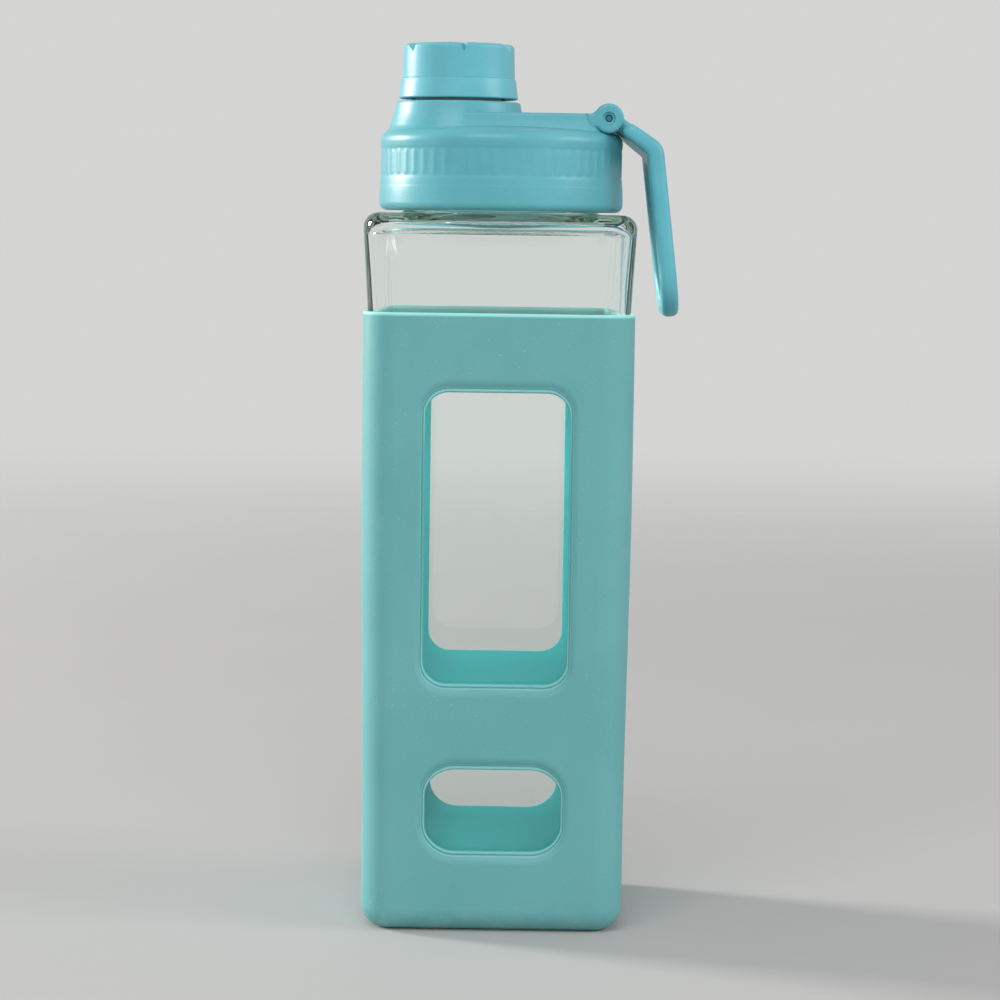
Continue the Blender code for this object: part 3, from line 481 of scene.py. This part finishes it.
# Lid gasket: a flat ring stamped from cloudy silicone. It sits in the lid under its plate and is
# squeezed against the glass rim when the lid is on.
GASKET_EDGE = 0.0004


def flat_ring(inner, outer, foot, top, steps, axis_x=0.0):
    """A flat ring with softened edges."""
    corners = [(outer - GASKET_EDGE, foot + GASKET_EDGE), (outer - GASKET_EDGE, top - GASKET_EDGE)]
    corners += [(inner + GASKET_EDGE, top - GASKET_EDGE), (inner + GASKET_EDGE, foot + GASKET_EDGE)]
    section = []
    for corner, start in zip(corners, (-90, 0, 90, 180)):
        section += bend(corner, GASKET_EDGE, start, start + 90, 4)
    bm = bmesh.new()
    turned(bm, section + section[:1], steps, axis_x)
    return bm


cloudy_silicone, surface, spot = new_finish(
    "cloudy_silicone", Specular_IOR_Level=0.4, Transmission_Weight=0.25, IOR=1.41
)
haze = spot.noise(140.0, 3.0)
feed(
    surface,
    Base_Color=haze.tint(linear(226, 232, 230), linear(240, 243, 240)),
    Roughness=0.42 + haze * 0.15,
    Normal=spot.noise(2600.0, 1.0).bump(0.00003, 0.5),
)
lid_ring = flat_ring(0.0230, 0.0274, 0.2124, 0.2144, 96)
set_down("lid_seal", lid_ring, cloudy_silicone, "lid", "lid_gasket")


# Lid insert: the pale inner moulding of the lid. Its skirt carries the lugs that grip the neck, and its
# plate carries the threaded drinking spout. It snaps up into the lid cover.
SKIRT_BORE = 0.02795
SKIRT_RADIUS = 0.02965
SKIRT_RINGS = 53
PLATE_FOOT = 0.2147
PLATE_TOP = 0.2167
PLATE_EDGE = 0.0005
PLATE_INNER_ROUND = 0.00045
FLANGE_FOOT = 0.1973
FLANGE_TOP = 0.1990
FLANGE_RADIUS = 0.0315
FLANGE_EDGE = 0.0003
FLANGE_ROOT = 0.00035
SKIRT_LUG = {"height": -0.00092, "lead": LUG_LEAD, "turns": 0.088, "foot": 0.20569, "run_out": 0.018}
SPOUT_X = -0.0122
SPOUT_RADIUS = 0.0120
SPOUT_BORE = 0.0100
SPOUT_FOOT = 0.2160
SPOUT_RIM = 0.2380
SPOUT_RIM_ROUND = 0.0006
SPOUT_RINGS = 106
THREAD_STEP = 0.0002
THREAD = {"lead": 0.004, "turns": 1.25, "run_out": 0.12, "axis_x": SPOUT_X}
insert = bmesh.new()
inner_corner = (SKIRT_BORE - PLATE_INNER_ROUND, PLATE_FOOT - PLATE_INNER_ROUND)
skirt = [(0.0, PLATE_FOOT), (inner_corner[0], PLATE_FOOT)] + bend(inner_corner, PLATE_INNER_ROUND, 90, 0, 3)
skirt += [(SKIRT_BORE, 0.2138 - RING_STEP * ring) for ring in range(SKIRT_RINGS)]
skirt += [(SKIRT_BORE, FLANGE_FOOT + FLANGE_EDGE), (SKIRT_BORE + FLANGE_ROOT, FLANGE_FOOT)]
skirt += [(FLANGE_RADIUS - FLANGE_EDGE, FLANGE_FOOT), (FLANGE_RADIUS, FLANGE_FOOT + FLANGE_EDGE)]
skirt += [(FLANGE_RADIUS, FLANGE_TOP - FLANGE_EDGE)]
skirt += bend((FLANGE_RADIUS - FLANGE_EDGE, FLANGE_TOP - FLANGE_EDGE), FLANGE_EDGE, 0, 90, 3)
skirt += [(SKIRT_RADIUS + FLANGE_ROOT, FLANGE_TOP)]
skirt += bend((SKIRT_RADIUS + FLANGE_ROOT, FLANGE_TOP + FLANGE_ROOT), FLANGE_ROOT, 270, 180, 3)
skirt += bend((SKIRT_RADIUS - PLATE_EDGE, PLATE_TOP - PLATE_EDGE), PLATE_EDGE, 0, 90, 4) + [(0.0, PLATE_TOP)]
turned(insert, skirt, 128)
skirt_wall = turned_wall(insert, SKIRT_BORE, 0.00015, FLANGE_FOOT, PLATE_FOOT)
for lug in range(LUGS):
    raise_ridge(skirt_wall, lug / LUGS - SKIRT_LUG["turns"] / 2, **SKIRT_LUG)
spout = bmesh.new()
tube = [(SPOUT_BORE, 0.2140), (SPOUT_RADIUS, 0.2140)]  # its foot is sunk in the plate
tube += [(SPOUT_RADIUS, SPOUT_FOOT + THREAD_STEP * ring) for ring in range(SPOUT_RINGS)]
tube += bend((SPOUT_RADIUS - SPOUT_RIM_ROUND, SPOUT_RIM - SPOUT_RIM_ROUND), SPOUT_RIM_ROUND, 0, 90, 5)
tube += bend((SPOUT_BORE + SPOUT_RIM_ROUND, SPOUT_RIM - SPOUT_RIM_ROUND), SPOUT_RIM_ROUND, 90, 180, 5)
turned(spout, tube + tube[:1], 96, SPOUT_X)
spout_wall = turned_wall(spout, SPOUT_RADIUS, 0.0001, SPOUT_FOOT + 0.0002, SPOUT_RIM, SPOUT_X)
raise_ridge(spout_wall, 0.0, height=0.0010, foot=0.2312, **THREAD)
drain = bmesh.new()
drain_radius = 0.9995 * SPOUT_BORE  # a hair less than the bore, so that the two walls never coincide
drain_section = [(0.0, 0.2120), (drain_radius, 0.2120), (drain_radius, 0.2400), (0.0, 0.2400)]
turned(drain, drain_section, 96, SPOUT_X)
insert = combined(insert, [(drain, "DIFFERENCE"), (spout, "UNION")])

pale_plastic, surface, spot = new_finish("pale_plastic", Specular_IOR_Level=0.45)
flow = spot.noise(60.0, 2.0)
texture = spot.noise(2400.0, 1.0)
feed(
    surface,
    Base_Color=flow.tint(linear(194, 220, 220), linear(206, 228, 227)),
    Roughness=0.34 + flow * 0.10,
    Normal=texture.bump(0.00003, 0.4),
)
set_down("lid_inner", insert, pale_plastic, "lid", "lid_insert", sharp=32.0)


# Lid cover: the aqua outer moulding of the lid, with grip ribs round its side, a low dome, the collar
# that the spout comes up through, and a raised deck that runs out to the two hinge ears.
LID_FOOT = 0.1970
LID_FOOT_ROUND = 0.0021
LID_RADIUS = 0.0340
LID_BORE = 0.0318
LID_CEILING = 0.2170
LID_INNER_ROUND = 0.0010
LID_SHOULDER = 0.2190
LID_SHOULDER_ROUND = 0.0030
LID_DOME_RADIUS = 0.0308
LID_DOME_RISE = 0.0020
GRIP_RADIUS = 0.03350
GRIP_FOOT = 0.2063
GRIP_TOP = 0.2140
RIBS = 60
RIB_HEIGHT = 0.00011
RIB_FADE = 0.0009
HINGE_X = 0.0293
HINGE_Z = 0.2227
DECK_HALF = 0.0170
DECK_TOP = 0.2240
DECK_EDGE = 0.0011
DECK_END_CORNER = 0.0042
DECK_NARROWING = 0.115  # how much narrower it is at the hinge than at the spout
COLLAR_TOP = 0.2271
COLLAR_EDGE = 0.00065
COLLAR_BORE = 0.0133
EAR_RADIUS = 0.0041
EAR_FACE = 0.0169
EAR_EDGE = 0.0009
EAR_CURVE = 0.00136  # radius of the curve from the deck up to an ear
EAR_BACK = 0.0062
SLOT_RADIUS = 0.0041
SLOT_HALF = 0.0125
SLOT_REACH = 0.0140
UNDER_WEB = 0.00155  # how far the slot goes below the line from the hinge along the loop's upper stretch
WEB_SLOPE = math.radians(36.0)


def lying(bm):
    """Lays a shape turned about Z along Y, with its middle on the hinge."""
    bmesh.ops.rotate(bm, verts=bm.verts[:], cent=(0.0, 0.0, 0.0), matrix=Matrix.Rotation(math.pi / 2, 3, "X"))
    bmesh.ops.translate(bm, verts=bm.verts[:], vec=(HINGE_X, 0.0, HINGE_Z))
    return bm


def carried(bm, faces, way):
    """Makes flat faces a solid by carrying them along a way. Returns the vertices at its far end."""
    made = bmesh.ops.extrude_face_region(bm, geom=faces, use_keep_orig=True)
    moved = [g for g in made["geom"] if isinstance(g, bmesh.types.BMVert)]
    bmesh.ops.translate(bm, verts=moved, vec=way)
    return moved


def across_hinge(outline, half):
    """A solid with this (x, z) outline about the hinge, as wide as two halves."""
    bm = bmesh.new()
    row = [bm.verts.new((HINGE_X + x, -half, HINGE_Z + z)) for x, z in outline]
    carried(bm, [bm.faces.new(row)], (0.0, 2 * half, 0.0))
    return bm


cover = bmesh.new()
wall = [(0.0, LID_CEILING)]
wall += bend((LID_BORE - LID_INNER_ROUND, LID_CEILING - LID_INNER_ROUND), LID_INNER_ROUND, 90, 0, 4)
wall += [(LID_BORE, LID_FOOT + 0.0005), (LID_BORE + 0.0004, LID_FOOT)]
wall += bend((LID_RADIUS - LID_FOOT_ROUND, LID_FOOT + LID_FOOT_ROUND), LID_FOOT_ROUND, -90, 0, 9)
# a fine step in the side, then the recessed grip band
wall += [(0.03397, 0.2016), (0.03390, 0.2034), (0.03383, 0.2037), (0.03380, 0.2040), (0.03379, 0.2044)]
wall += [(0.03370, 0.2055), (0.03363, 0.2060), (0.03354, GRIP_FOOT)]
wall += [(GRIP_RADIUS, GRIP_FOOT + 0.0003 + 0.00055 * ring) for ring in range(14)]
wall += [(0.03354, GRIP_TOP), (0.03364, 0.2143), (0.03370, 0.2148), (0.03378, 0.2156)]
wall += bend((LID_DOME_RADIUS, LID_SHOULDER - LID_SHOULDER_ROUND), LID_SHOULDER_ROUND, 0, 90, 10)
for step in range(1, 11):
    out = 1 - step / 10
    wall.append((LID_DOME_RADIUS * out, LID_SHOULDER + LID_DOME_RISE * (1 - out**2)))
turned(cover, wall, RIBS * 8)
for vert in turned_wall(cover, GRIP_RADIUS, 0.0001, GRIP_FOOT - 0.0002, GRIP_TOP + 0.0002):
    turn = math.atan2(vert.co.y, vert.co.x) / (2 * math.pi) * RIBS % 1.0
    rib = eased(1.6 - 5.0 * abs(turn - 0.5))
    ends = eased((vert.co.z - GRIP_FOOT) / RIB_FADE) * eased((GRIP_TOP - vert.co.z) / RIB_FADE)
    push_out(vert, 0.0, RIB_HEIGHT * rib * ends)

# the collar's cone and the deck's sides share one outline, so that they run into each other
rise = [(0.0201, 0.2176), (0.0201, 0.2188), (0.0195, 0.2196), (0.0190, 0.2206), (0.0186, 0.2220)]
collar = bmesh.new()
cone = [(0.0, rise[0][1])] + rise + [(0.0179, 0.2236), (0.01735, COLLAR_TOP - 0.0007)]
cone += bend((0.01670, COLLAR_TOP - COLLAR_EDGE), COLLAR_EDGE, 0, 90, 5) + [(0.0, COLLAR_TOP)]
turned(collar, cone, 128, SPOUT_X)

deck = bmesh.new()
deck_sides = [(radius - DECK_HALF - 0.00008, z) for radius, z in rise]  # a hair inside the cone
deck_sides += bend((deck_sides[-1][0] - 0.0013, DECK_TOP - DECK_EDGE), DECK_EDGE, 0, 90, 7)
deck_end = HINGE_X - 0.0015
corners = bmesh.ops.create_grid(deck, x_segments=1, y_segments=1, size=1.0)["verts"]
bmesh.ops.scale(deck, verts=corners, vec=((deck_end - SPOUT_X) / 2, DECK_HALF + deck_sides[0][0], 1.0))
bmesh.ops.translate(deck, verts=corners, vec=((deck_end + SPOUT_X) / 2, 0.0, deck_sides[0][1]))
end_corners = [v for v in corners if v.co.x > 0.0]
bmesh.ops.bevel(
    deck, geom=end_corners, offset=DECK_END_CORNER, segments=7, profile=0.5, affect="VERTICES", material=-1
)
grow(deck, deck.faces[:][0], deck_sides)
bmesh.ops.holes_fill(deck, edges=open_edges(deck, rise[0][1], rise[0][1]), sides=0)
for vert in deck.verts:
    vert.co.y *= 1 - DECK_NARROWING * (vert.co.x - SPOUT_X) / (HINGE_X - SPOUT_X)

deck_above = DECK_TOP - HINGE_Z - 0.00002
ear = bend((-0.0050, deck_above + EAR_CURVE), EAR_CURVE, 270, 330, 6)
ear += bend((0.0, 0.0), EAR_RADIUS, 152, -140, 48)
ear += [(-EAR_BACK, -0.0030), (-EAR_BACK, deck_above)]
ears = across_hinge(ear, EAR_FACE)
rims = [e for e in ears.edges if abs(e.verts[0].co.y - e.verts[1].co.y) < 1e-7]
bmesh.ops.bevel(ears, geom=rims, offset=EAR_EDGE, segments=5, profile=0.5, affect="EDGES", material=-1)

# the slot between the ears leaves room for the loop's barrel and for its upper stretch as it hangs
down = math.sin(WEB_SLOPE)
level = math.cos(WEB_SLOPE)
touch, slot_end = [
    (along * level - UNDER_WEB * down, -along * down - UNDER_WEB * level)
    for along in (math.sqrt(SLOT_RADIUS**2 - UNDER_WEB**2), SLOT_REACH)
]
room = [(-0.0050, SLOT_REACH), (-0.0050, 0.0)]
room += bend((0.0, 0.0), SLOT_RADIUS, 180, 360 + math.degrees(math.atan2(touch[1], touch[0])), 20)
room += [slot_end, (slot_end[0], SLOT_REACH)]
slot = across_hinge(room, SLOT_HALF)

pin_hole = bmesh.new()
recess = [(0.0023, 0.0180), (0.00180, 0.0168), (0.00165, 0.0165), (0.00150, 0.0163)]
recess += [(0.00125, 0.01620), (0.00105, 0.0161)]
hole = [(0.0, -0.0180)] + [(radius, -y) for radius, y in recess] + recess[::-1] + [(0.0, 0.0180)]
turned(pin_hole, hole, 48)

spout_hole = bmesh.new()
hole = [(0.0, 0.2150), (COLLAR_BORE, 0.2150), (COLLAR_BORE, COLLAR_TOP - 0.0003)]
hole += [(COLLAR_BORE + 0.0007, COLLAR_TOP + 0.0004), (0.0, COLLAR_TOP + 0.0004)]
turned(spout_hole, hole, 96, SPOUT_X)

joined = [(deck, "UNION"), (collar, "UNION"), (ears, "UNION")]
cut = [(slot, "DIFFERENCE"), (lying(pin_hole), "DIFFERENCE"), (spout_hole, "DIFFERENCE")]
cover = combined(cover, joined + cut)


def moulded_plastic(name, dark, light, patch):
    """Satin plastic: faint flow marks, a fine spark texture, hairline scratches and rubbed patches."""
    finish, surface, spot = new_finish(name, Specular_IOR_Level=0.45)
    flow = spot.noise(patch, 3.0, 0.5).ramp(0.35, 0.65)
    rubbed = spot.noise(patch * 0.5, 4.0, 0.65).ramp(0.46, 0.66)
    texture = spot.noise(1500.0, 2.0, 0.6)
    stretched = spot.node("ShaderNodeMapping", {}, {"Vector": spot, "Scale": (130.0, 130.0, 2600.0)})
    hairs = stretched.noise(1.0, 3.0, 0.6).ramp(0.60, 0.70)
    specks = spot.noise(1700.0, 1.0).ramp(0.71, 0.78)
    feed(
        surface,
        Base_Color=(specks * 0.25).tint(flow.tint(dark, light), linear(172, 216, 220)),
        Roughness=0.35 + texture * 0.10 + hairs * 0.10 - rubbed * 0.06,
        Normal=(texture + hairs * 0.4).bump(0.00004, 0.45),
    )
    return finish


lid_plastic = moulded_plastic("aqua_plastic", linear(85, 162, 173), linear(93, 170, 181), 34.0)
set_down("lid_cover", cover, lid_plastic, "lid", "lid_shell", sharp=32.0)


# Hinge pin: a cut length of steel wire, pressed through the ears and the loop's barrel. Only its two
# chamfered ends show, in the recesses of the ears.
PIN_RADIUS = 0.0010
PIN_HALF = 0.0159
PIN_CHAMFER = 0.00025
pin = bmesh.new()
pin_end = [(PIN_RADIUS, PIN_HALF - PIN_CHAMFER), (PIN_RADIUS - PIN_CHAMFER, PIN_HALF), (0.0, PIN_HALF)]
turned(pin, [(radius, -y) for radius, y in reversed(pin_end)] + pin_end, 40)

wire_steel, surface, spot = new_finish("wire_steel", Metallic=1.0)
# painted reflection and shade: the steel is painted dark teal, standing in for the aqua recess mirrored in
# its end and the shade deep in the recess
drawn = spot.noise(2500.0)
feed(
    surface,
    Base_Color=drawn.tint(linear(68, 132, 150), linear(82, 146, 162)),
    Roughness=0.24 + drawn * 0.16,
    Normal=drawn.bump(0.00002, 0.4),
)
set_down("steel_pin", lying(pin), wire_steel, "lid", "hinge_pin", sharp=28.0)


# Carry loop: a flat aqua moulding with a finger hole and rounded edges, bent below its barrel so that
# it hangs clear of the shoulder. The barrel turns on the hinge pin between the ears.
LOOP_HALF_THICK = 0.00195
LOOP_THICKENING = 0.18  # how much thicker it is beyond the hinge
LOOP_OFFSET = 0.0007  # of its middle above the line from the hinge
LOOP_HALF = 0.0195
LOOP_CORNER = 0.0125
LOOP_EDGE = 0.0016
LOOP_END_BAR = 0.0062
TONGUE_START = 0.0024  # the narrow tongue that runs into the barrel
TONGUE_HALF = 0.0121
WEB_START = 0.0048
WEB_CORNER = 0.0026
WEB_LENGTH = 0.0153
BEND_RADIUS = 0.0035
BEND_STEPS = 12
LEG_LEAN = math.radians(6.8)
LEG_LENGTH = 0.0461
FINGER_HALF = 0.0130
FINGER_CORNER = 0.0066
FINGER_TOP = 0.0035
BARREL_RADIUS = 0.0037
BARREL_BORE = 0.00115
BARREL_EDGE = 0.0004
along_web = Vector((level, -down))
across_web = Vector((down, level))
along_leg = Vector((math.sin(LEG_LEAN), -math.cos(LEG_LEAN)))
out_of_leg = Vector((math.cos(LEG_LEAN), math.sin(LEG_LEAN)))
elbow = across_web * LOOP_OFFSET + along_web * WEB_LENGTH
fold = math.pi / 2 - WEB_SLOPE - LEG_LEAN
tangent = BEND_RADIUS * math.tan(fold / 2)
web_end = WEB_LENGTH - tangent
leg_start = web_end + BEND_RADIUS * fold
loop_end = leg_start + LEG_LENGTH - tangent


def bent(vert):
    """Takes a point of the flat loop (along, across, thickness) round the fold and hangs it on the hinge."""
    along, across, thick = vert.co
    thick *= 1 + LOOP_THICKENING * eased((along - 0.0055) / 0.0060)
    if along <= web_end:
        point = across_web * (LOOP_OFFSET + thick) + along_web * along
    elif along >= leg_start:
        point = elbow + along_leg * (along - leg_start + tangent) + out_of_leg * thick
    else:
        angle = (along - web_end) / BEND_RADIUS
        outwards = across_web * math.cos(angle) + along_web * math.sin(angle)
        point = elbow - along_web * tangent - across_web * BEND_RADIUS + outwards * (BEND_RADIUS + thick)
    return Vector((HINGE_X + point.x, across, HINGE_Z + point.y))


loop = bmesh.new()
plate = [(TONGUE_START, -TONGUE_HALF), (WEB_START, -TONGUE_HALF)]
plate += [(WEB_START, -LOOP_HALF), (loop_end, -LOOP_HALF)]
plate += [(x, -y) for x, y in reversed(plate)]
loop.faces.new([loop.verts.new((x, y, -LOOP_HALF_THICK)) for x, y in plate])
loop_corners = [v for v in loop.verts if abs(v.co.x - loop_end) < 1e-6]
web_corners = [v for v in loop.verts if abs(v.co.x - WEB_START) < 1e-6 and abs(v.co.y) > TONGUE_HALF + 1e-6]
for corners, offset, segments in ((loop_corners, LOOP_CORNER, 16), (web_corners, WEB_CORNER, 6)):
    bmesh.ops.bevel(
        loop, geom=corners, offset=offset, segments=segments, profile=0.5, affect="VERTICES", material=-1
    )
carried(loop, loop.faces[:], (0.0, 0.0, 2 * LOOP_HALF_THICK))
finger = bmesh.new()
hole_start = leg_start + FINGER_TOP - tangent
hole_end = loop_end - LOOP_END_BAR
rounded_face(finger, (hole_end - hole_start) / 2, FINGER_HALF, FINGER_CORNER, 14, -0.004)
bmesh.ops.translate(finger, verts=finger.verts[:], vec=((hole_start + hole_end) / 2, 0.0, 0.0))
carried(finger, finger.faces[:], (0.0, 0.0, 0.008))
loop = combined(loop, [(finger, "DIFFERENCE")])
rims = [
    e
    for e in loop.edges
    if len(e.link_faces) == 2
    and e.calc_face_angle() > 1.0
    and abs(e.verts[0].co.z - e.verts[1].co.z) < 1e-6
    and max(v.co.x for v in e.verts) > WEB_START - 0.0003
]
bmesh.ops.bevel(loop, geom=rims, offset=LOOP_EDGE, segments=6, profile=0.5, affect="EDGES", material=-1)
for step in range(BEND_STEPS + 1):
    bmesh.ops.bisect_plane(
        loop,
        geom=loop.verts[:] + loop.edges[:] + loop.faces[:],
        plane_co=(web_end + (leg_start - web_end) * step / BEND_STEPS, 0.0, 0.0),
        plane_no=(1.0, 0.0, 0.0),
        dist=1e-7,
    )
for vert in loop.verts:
    vert.co = bent(vert)
barrel = bmesh.new()
edge_at = (BARREL_RADIUS - BARREL_EDGE, TONGUE_HALF - BARREL_EDGE)
knuckle = [(BARREL_BORE, -TONGUE_HALF)] + bend((edge_at[0], -edge_at[1]), BARREL_EDGE, -90, 0, 4)
knuckle += bend(edge_at, BARREL_EDGE, 0, 90, 4) + [(BARREL_BORE, TONGUE_HALF)]
turned(barrel, knuckle + knuckle[:1], 64)
loop = combined(loop, [(lying(barrel), "UNION")])

loop_plastic = moulded_plastic("loop_plastic", linear(85, 166, 180), linear(93, 174, 188), 48.0)
set_down("carry_loop", loop, loop_plastic, "handle", "carry_handle", sharp=32.0)


# Cap gasket: a small flat ring of the same cloudy silicone. It sits up inside the cap and closes on the
# spout's rim.
cap_washer = flat_ring(0.0100, 0.01305, 0.2383, 0.2399, 72, SPOUT_X)
set_down("cap_ring", cap_washer, cloudy_silicone, "cap_seal", "cap_gasket")


# Screw cap: a thick aqua moulding with a stepped skirt, six notches round its top edge for the fingers
# and a thread inside that screws down on the spout.
CAP_FOOT = 0.2279
CAP_TOP = 0.2430
CAP_BORE = 0.01335
CAP_CEILING = 0.2402
CAP_INNER_ROUND = 0.00035
CAP_RINGS = 56
CAP_TOP_ROUND = 0.0012
NOTCHES = 6
NOTCH_START = 0.0112  # from the cap's axis
NOTCH_LENGTH = 0.0070
NOTCH_FALL = 0.0041
NOTCH_SPREAD = 3.72  # how much wider a notch is outside than inside
cap = bmesh.new()
inner_corner = (CAP_BORE - CAP_INNER_ROUND, CAP_CEILING - CAP_INNER_ROUND)
section = [(0.0, CAP_CEILING), (inner_corner[0], CAP_CEILING)] + bend(inner_corner, CAP_INNER_ROUND, 90, 0, 3)
section += [(CAP_BORE, 0.2394 - THREAD_STEP * ring) for ring in range(CAP_RINGS)]
section += [(CAP_BORE, CAP_FOOT + 0.0003), (CAP_BORE + 0.0003, CAP_FOOT)]
section += bend((0.0161, CAP_FOOT + 0.0005), 0.0005, -90, 0, 5)
section += [(0.0162, CAP_FOOT + 0.0034)]
section += bend((0.01555, CAP_FOOT + 0.0052), 0.0004, 20, 90, 4)  # the step round its skirt
section += [(0.01562, CAP_FOOT + 0.0058)]
section += bend((0.0142, CAP_TOP - CAP_TOP_ROUND), CAP_TOP_ROUND, 3, 90, 8)
section += [(0.0110, CAP_TOP), (0.0106, CAP_TOP - 0.0002), (0.0, CAP_TOP - 0.0002)]
turned(cap, section, 144, SPOUT_X)
cap_wall = turned_wall(cap, CAP_BORE, 0.00005, CAP_FOOT + 0.0004, 0.2397, SPOUT_X)
raise_ridge(cap_wall, 0.0, height=-0.00082, foot=0.22975, **THREAD)
notches = []
for index in range(NOTCHES):
    # a notch starts as a point inside the rim and widens outwards, with one gentle side and one steep side
    wedge = bmesh.new()
    mouth = ((0.0, 0.0), (-0.00245, 0.0015), (0.0007, 0.0015))
    inner = wedge.faces.new([wedge.verts.new((NOTCH_START, y, CAP_TOP + z)) for y, z in mouth])
    outer_end = carried(wedge, [inner], (NOTCH_LENGTH, 0.0, 0.0))
    min(outer_end, key=lambda vert: vert.co.z).co.z -= NOTCH_FALL
    bmesh.ops.scale(wedge, verts=outer_end, vec=(1.0, NOTCH_SPREAD, 1.0))
    turn = Matrix.Rotation(math.radians(-84.0 + 360.0 * index / NOTCHES), 3, "Z")
    bmesh.ops.rotate(wedge, verts=wedge.verts[:], cent=(0.0, 0.0, 0.0), matrix=turn)
    bmesh.ops.translate(wedge, verts=wedge.verts[:], vec=(SPOUT_X, 0.0, 0.0))
    notches.append((wedge, "DIFFERENCE"))
cap = combined(cap, notches)

cap_plastic = moulded_plastic("cap_plastic", linear(94, 172, 185), linear(102, 180, 193), 52.0)
set_down("screw_cap", cap, cap_plastic, "cap", "spout_cap", sharp=32.0)


# Studio: a plain pale floor that fades into a pale backdrop, one soft key lamp from the left and behind,
# three soft fill lamps, and a camera at the photograph's place.
FLOOR_FADE = (0.35, 1.9)  # distances from the bottle between which the floor fades away
floor_bm = bmesh.new()
bmesh.ops.create_grid(floor_bm, x_segments=1, y_segments=1, size=6.0)
floor_mesh = bpy.data.meshes.new("pale_floor")
floor_bm.to_mesh(floor_mesh)
floor_bm.free()
floor = bpy.data.objects.new("pale_floor", floor_mesh)
bpy.context.scene.collection.objects.link(floor)
pale_floor, surface, spot = new_finish("pale_floor", Specular_IOR_Level=0.2)
feed(
    surface,
    Base_Color=spot.noise(7.0, 3.0).tint((0.450, 0.447, 0.440, 1.0), (0.475, 0.472, 0.465, 1.0)),
    Roughness=0.62 + spot.noise(90.0, 2.0) * 0.1,
    Alpha=1 - spot.vector("LENGTH", output="Value").ramp(*FLOOR_FADE),
)
floor_mesh.materials.append(pale_floor)

world = bpy.data.worlds.new("studio")
bpy.context.scene.world = world
world.use_nodes = True
nodes = Field(world.node_tree)
rays = ("Is Camera Ray", "Is Glossy Ray", "Is Transmission Ray")
camera_ray, glossy_ray, glass_ray = [nodes.node("ShaderNodeLightPath", {}, {}, output=ray) for ray in rays]
backdrop = (camera_ray + glossy_ray + glass_ray).tint((0.40, 0.405, 0.41, 1.0), (0.66, 0.66, 0.655, 1.0))
world.node_tree.links.new(backdrop.socket, world.node_tree.nodes["Background"].inputs["Color"])


def soft_lamp(name, place, target, width, height, power, colour=(1.0, 1.0, 1.0), mirrored=True):
    """A rectangular soft lamp that faces a point. One that isn't mirrored makes no highlight in the glass."""
    lamp = bpy.data.lights.new(name, "AREA")
    lamp.shape = "RECTANGLE"
    lamp.size = width
    lamp.size_y = height
    lamp.energy = power
    lamp.color = colour
    holder = bpy.data.objects.new(name, lamp)
    holder.visible_glossy = mirrored
    holder.visible_transmission = mirrored
    holder.location = place
    holder.rotation_euler = (Vector(target) - Vector(place)).to_track_quat("-Z", "Y").to_euler()
    bpy.context.scene.collection.objects.link(holder)


soft_lamp("key_left", (-2.0, 0.84, 0.72), (0.0, 0.0, 0.13), 0.45, 0.6, 56.0, (1.0, 0.985, 0.95))
soft_lamp("fill_above", (-0.35, -1.35, 1.55), (0.0, 0.0, 0.12), 1.3, 0.9, 15.0)
soft_lamp("fill_low", (0.25, -2.0, 0.62), (0.0, 0.0, 0.12), 1.0, 0.5, 11.5, mirrored=False)
soft_lamp("fill_right", (1.8, -0.5, 1.0), (0.0, 0.0, 0.12), 0.9, 0.7, 13.0)
bpy.context.scene.cycles.max_bounces = 24  # light goes round many times in thick glass
bpy.context.scene.cycles.glossy_bounces = 16
bpy.context.scene.cycles.transmission_bounces = 24

camera = bpy.data.cameras.new("photo_camera")
camera.sensor_width = 36.0
camera.lens = 113.87
camera.clip_start = 0.05
camera.clip_end = 50.0
eye = bpy.data.objects.new("photo_camera", camera)
eye.matrix_world = (
    Matrix.Translation((0.0009, -0.888, 0.194))
    @ Matrix.Rotation(math.radians(90.0 - 5.02), 4, "X")  # it looks a little down
    @ Matrix.Rotation(math.radians(0.8), 4, "Z")  # and leans a little
)
bpy.context.scene.collection.objects.link(eye)
bpy.context.scene.camera = eye
bpy.context.scene.view_settings.view_transform = "Standard"
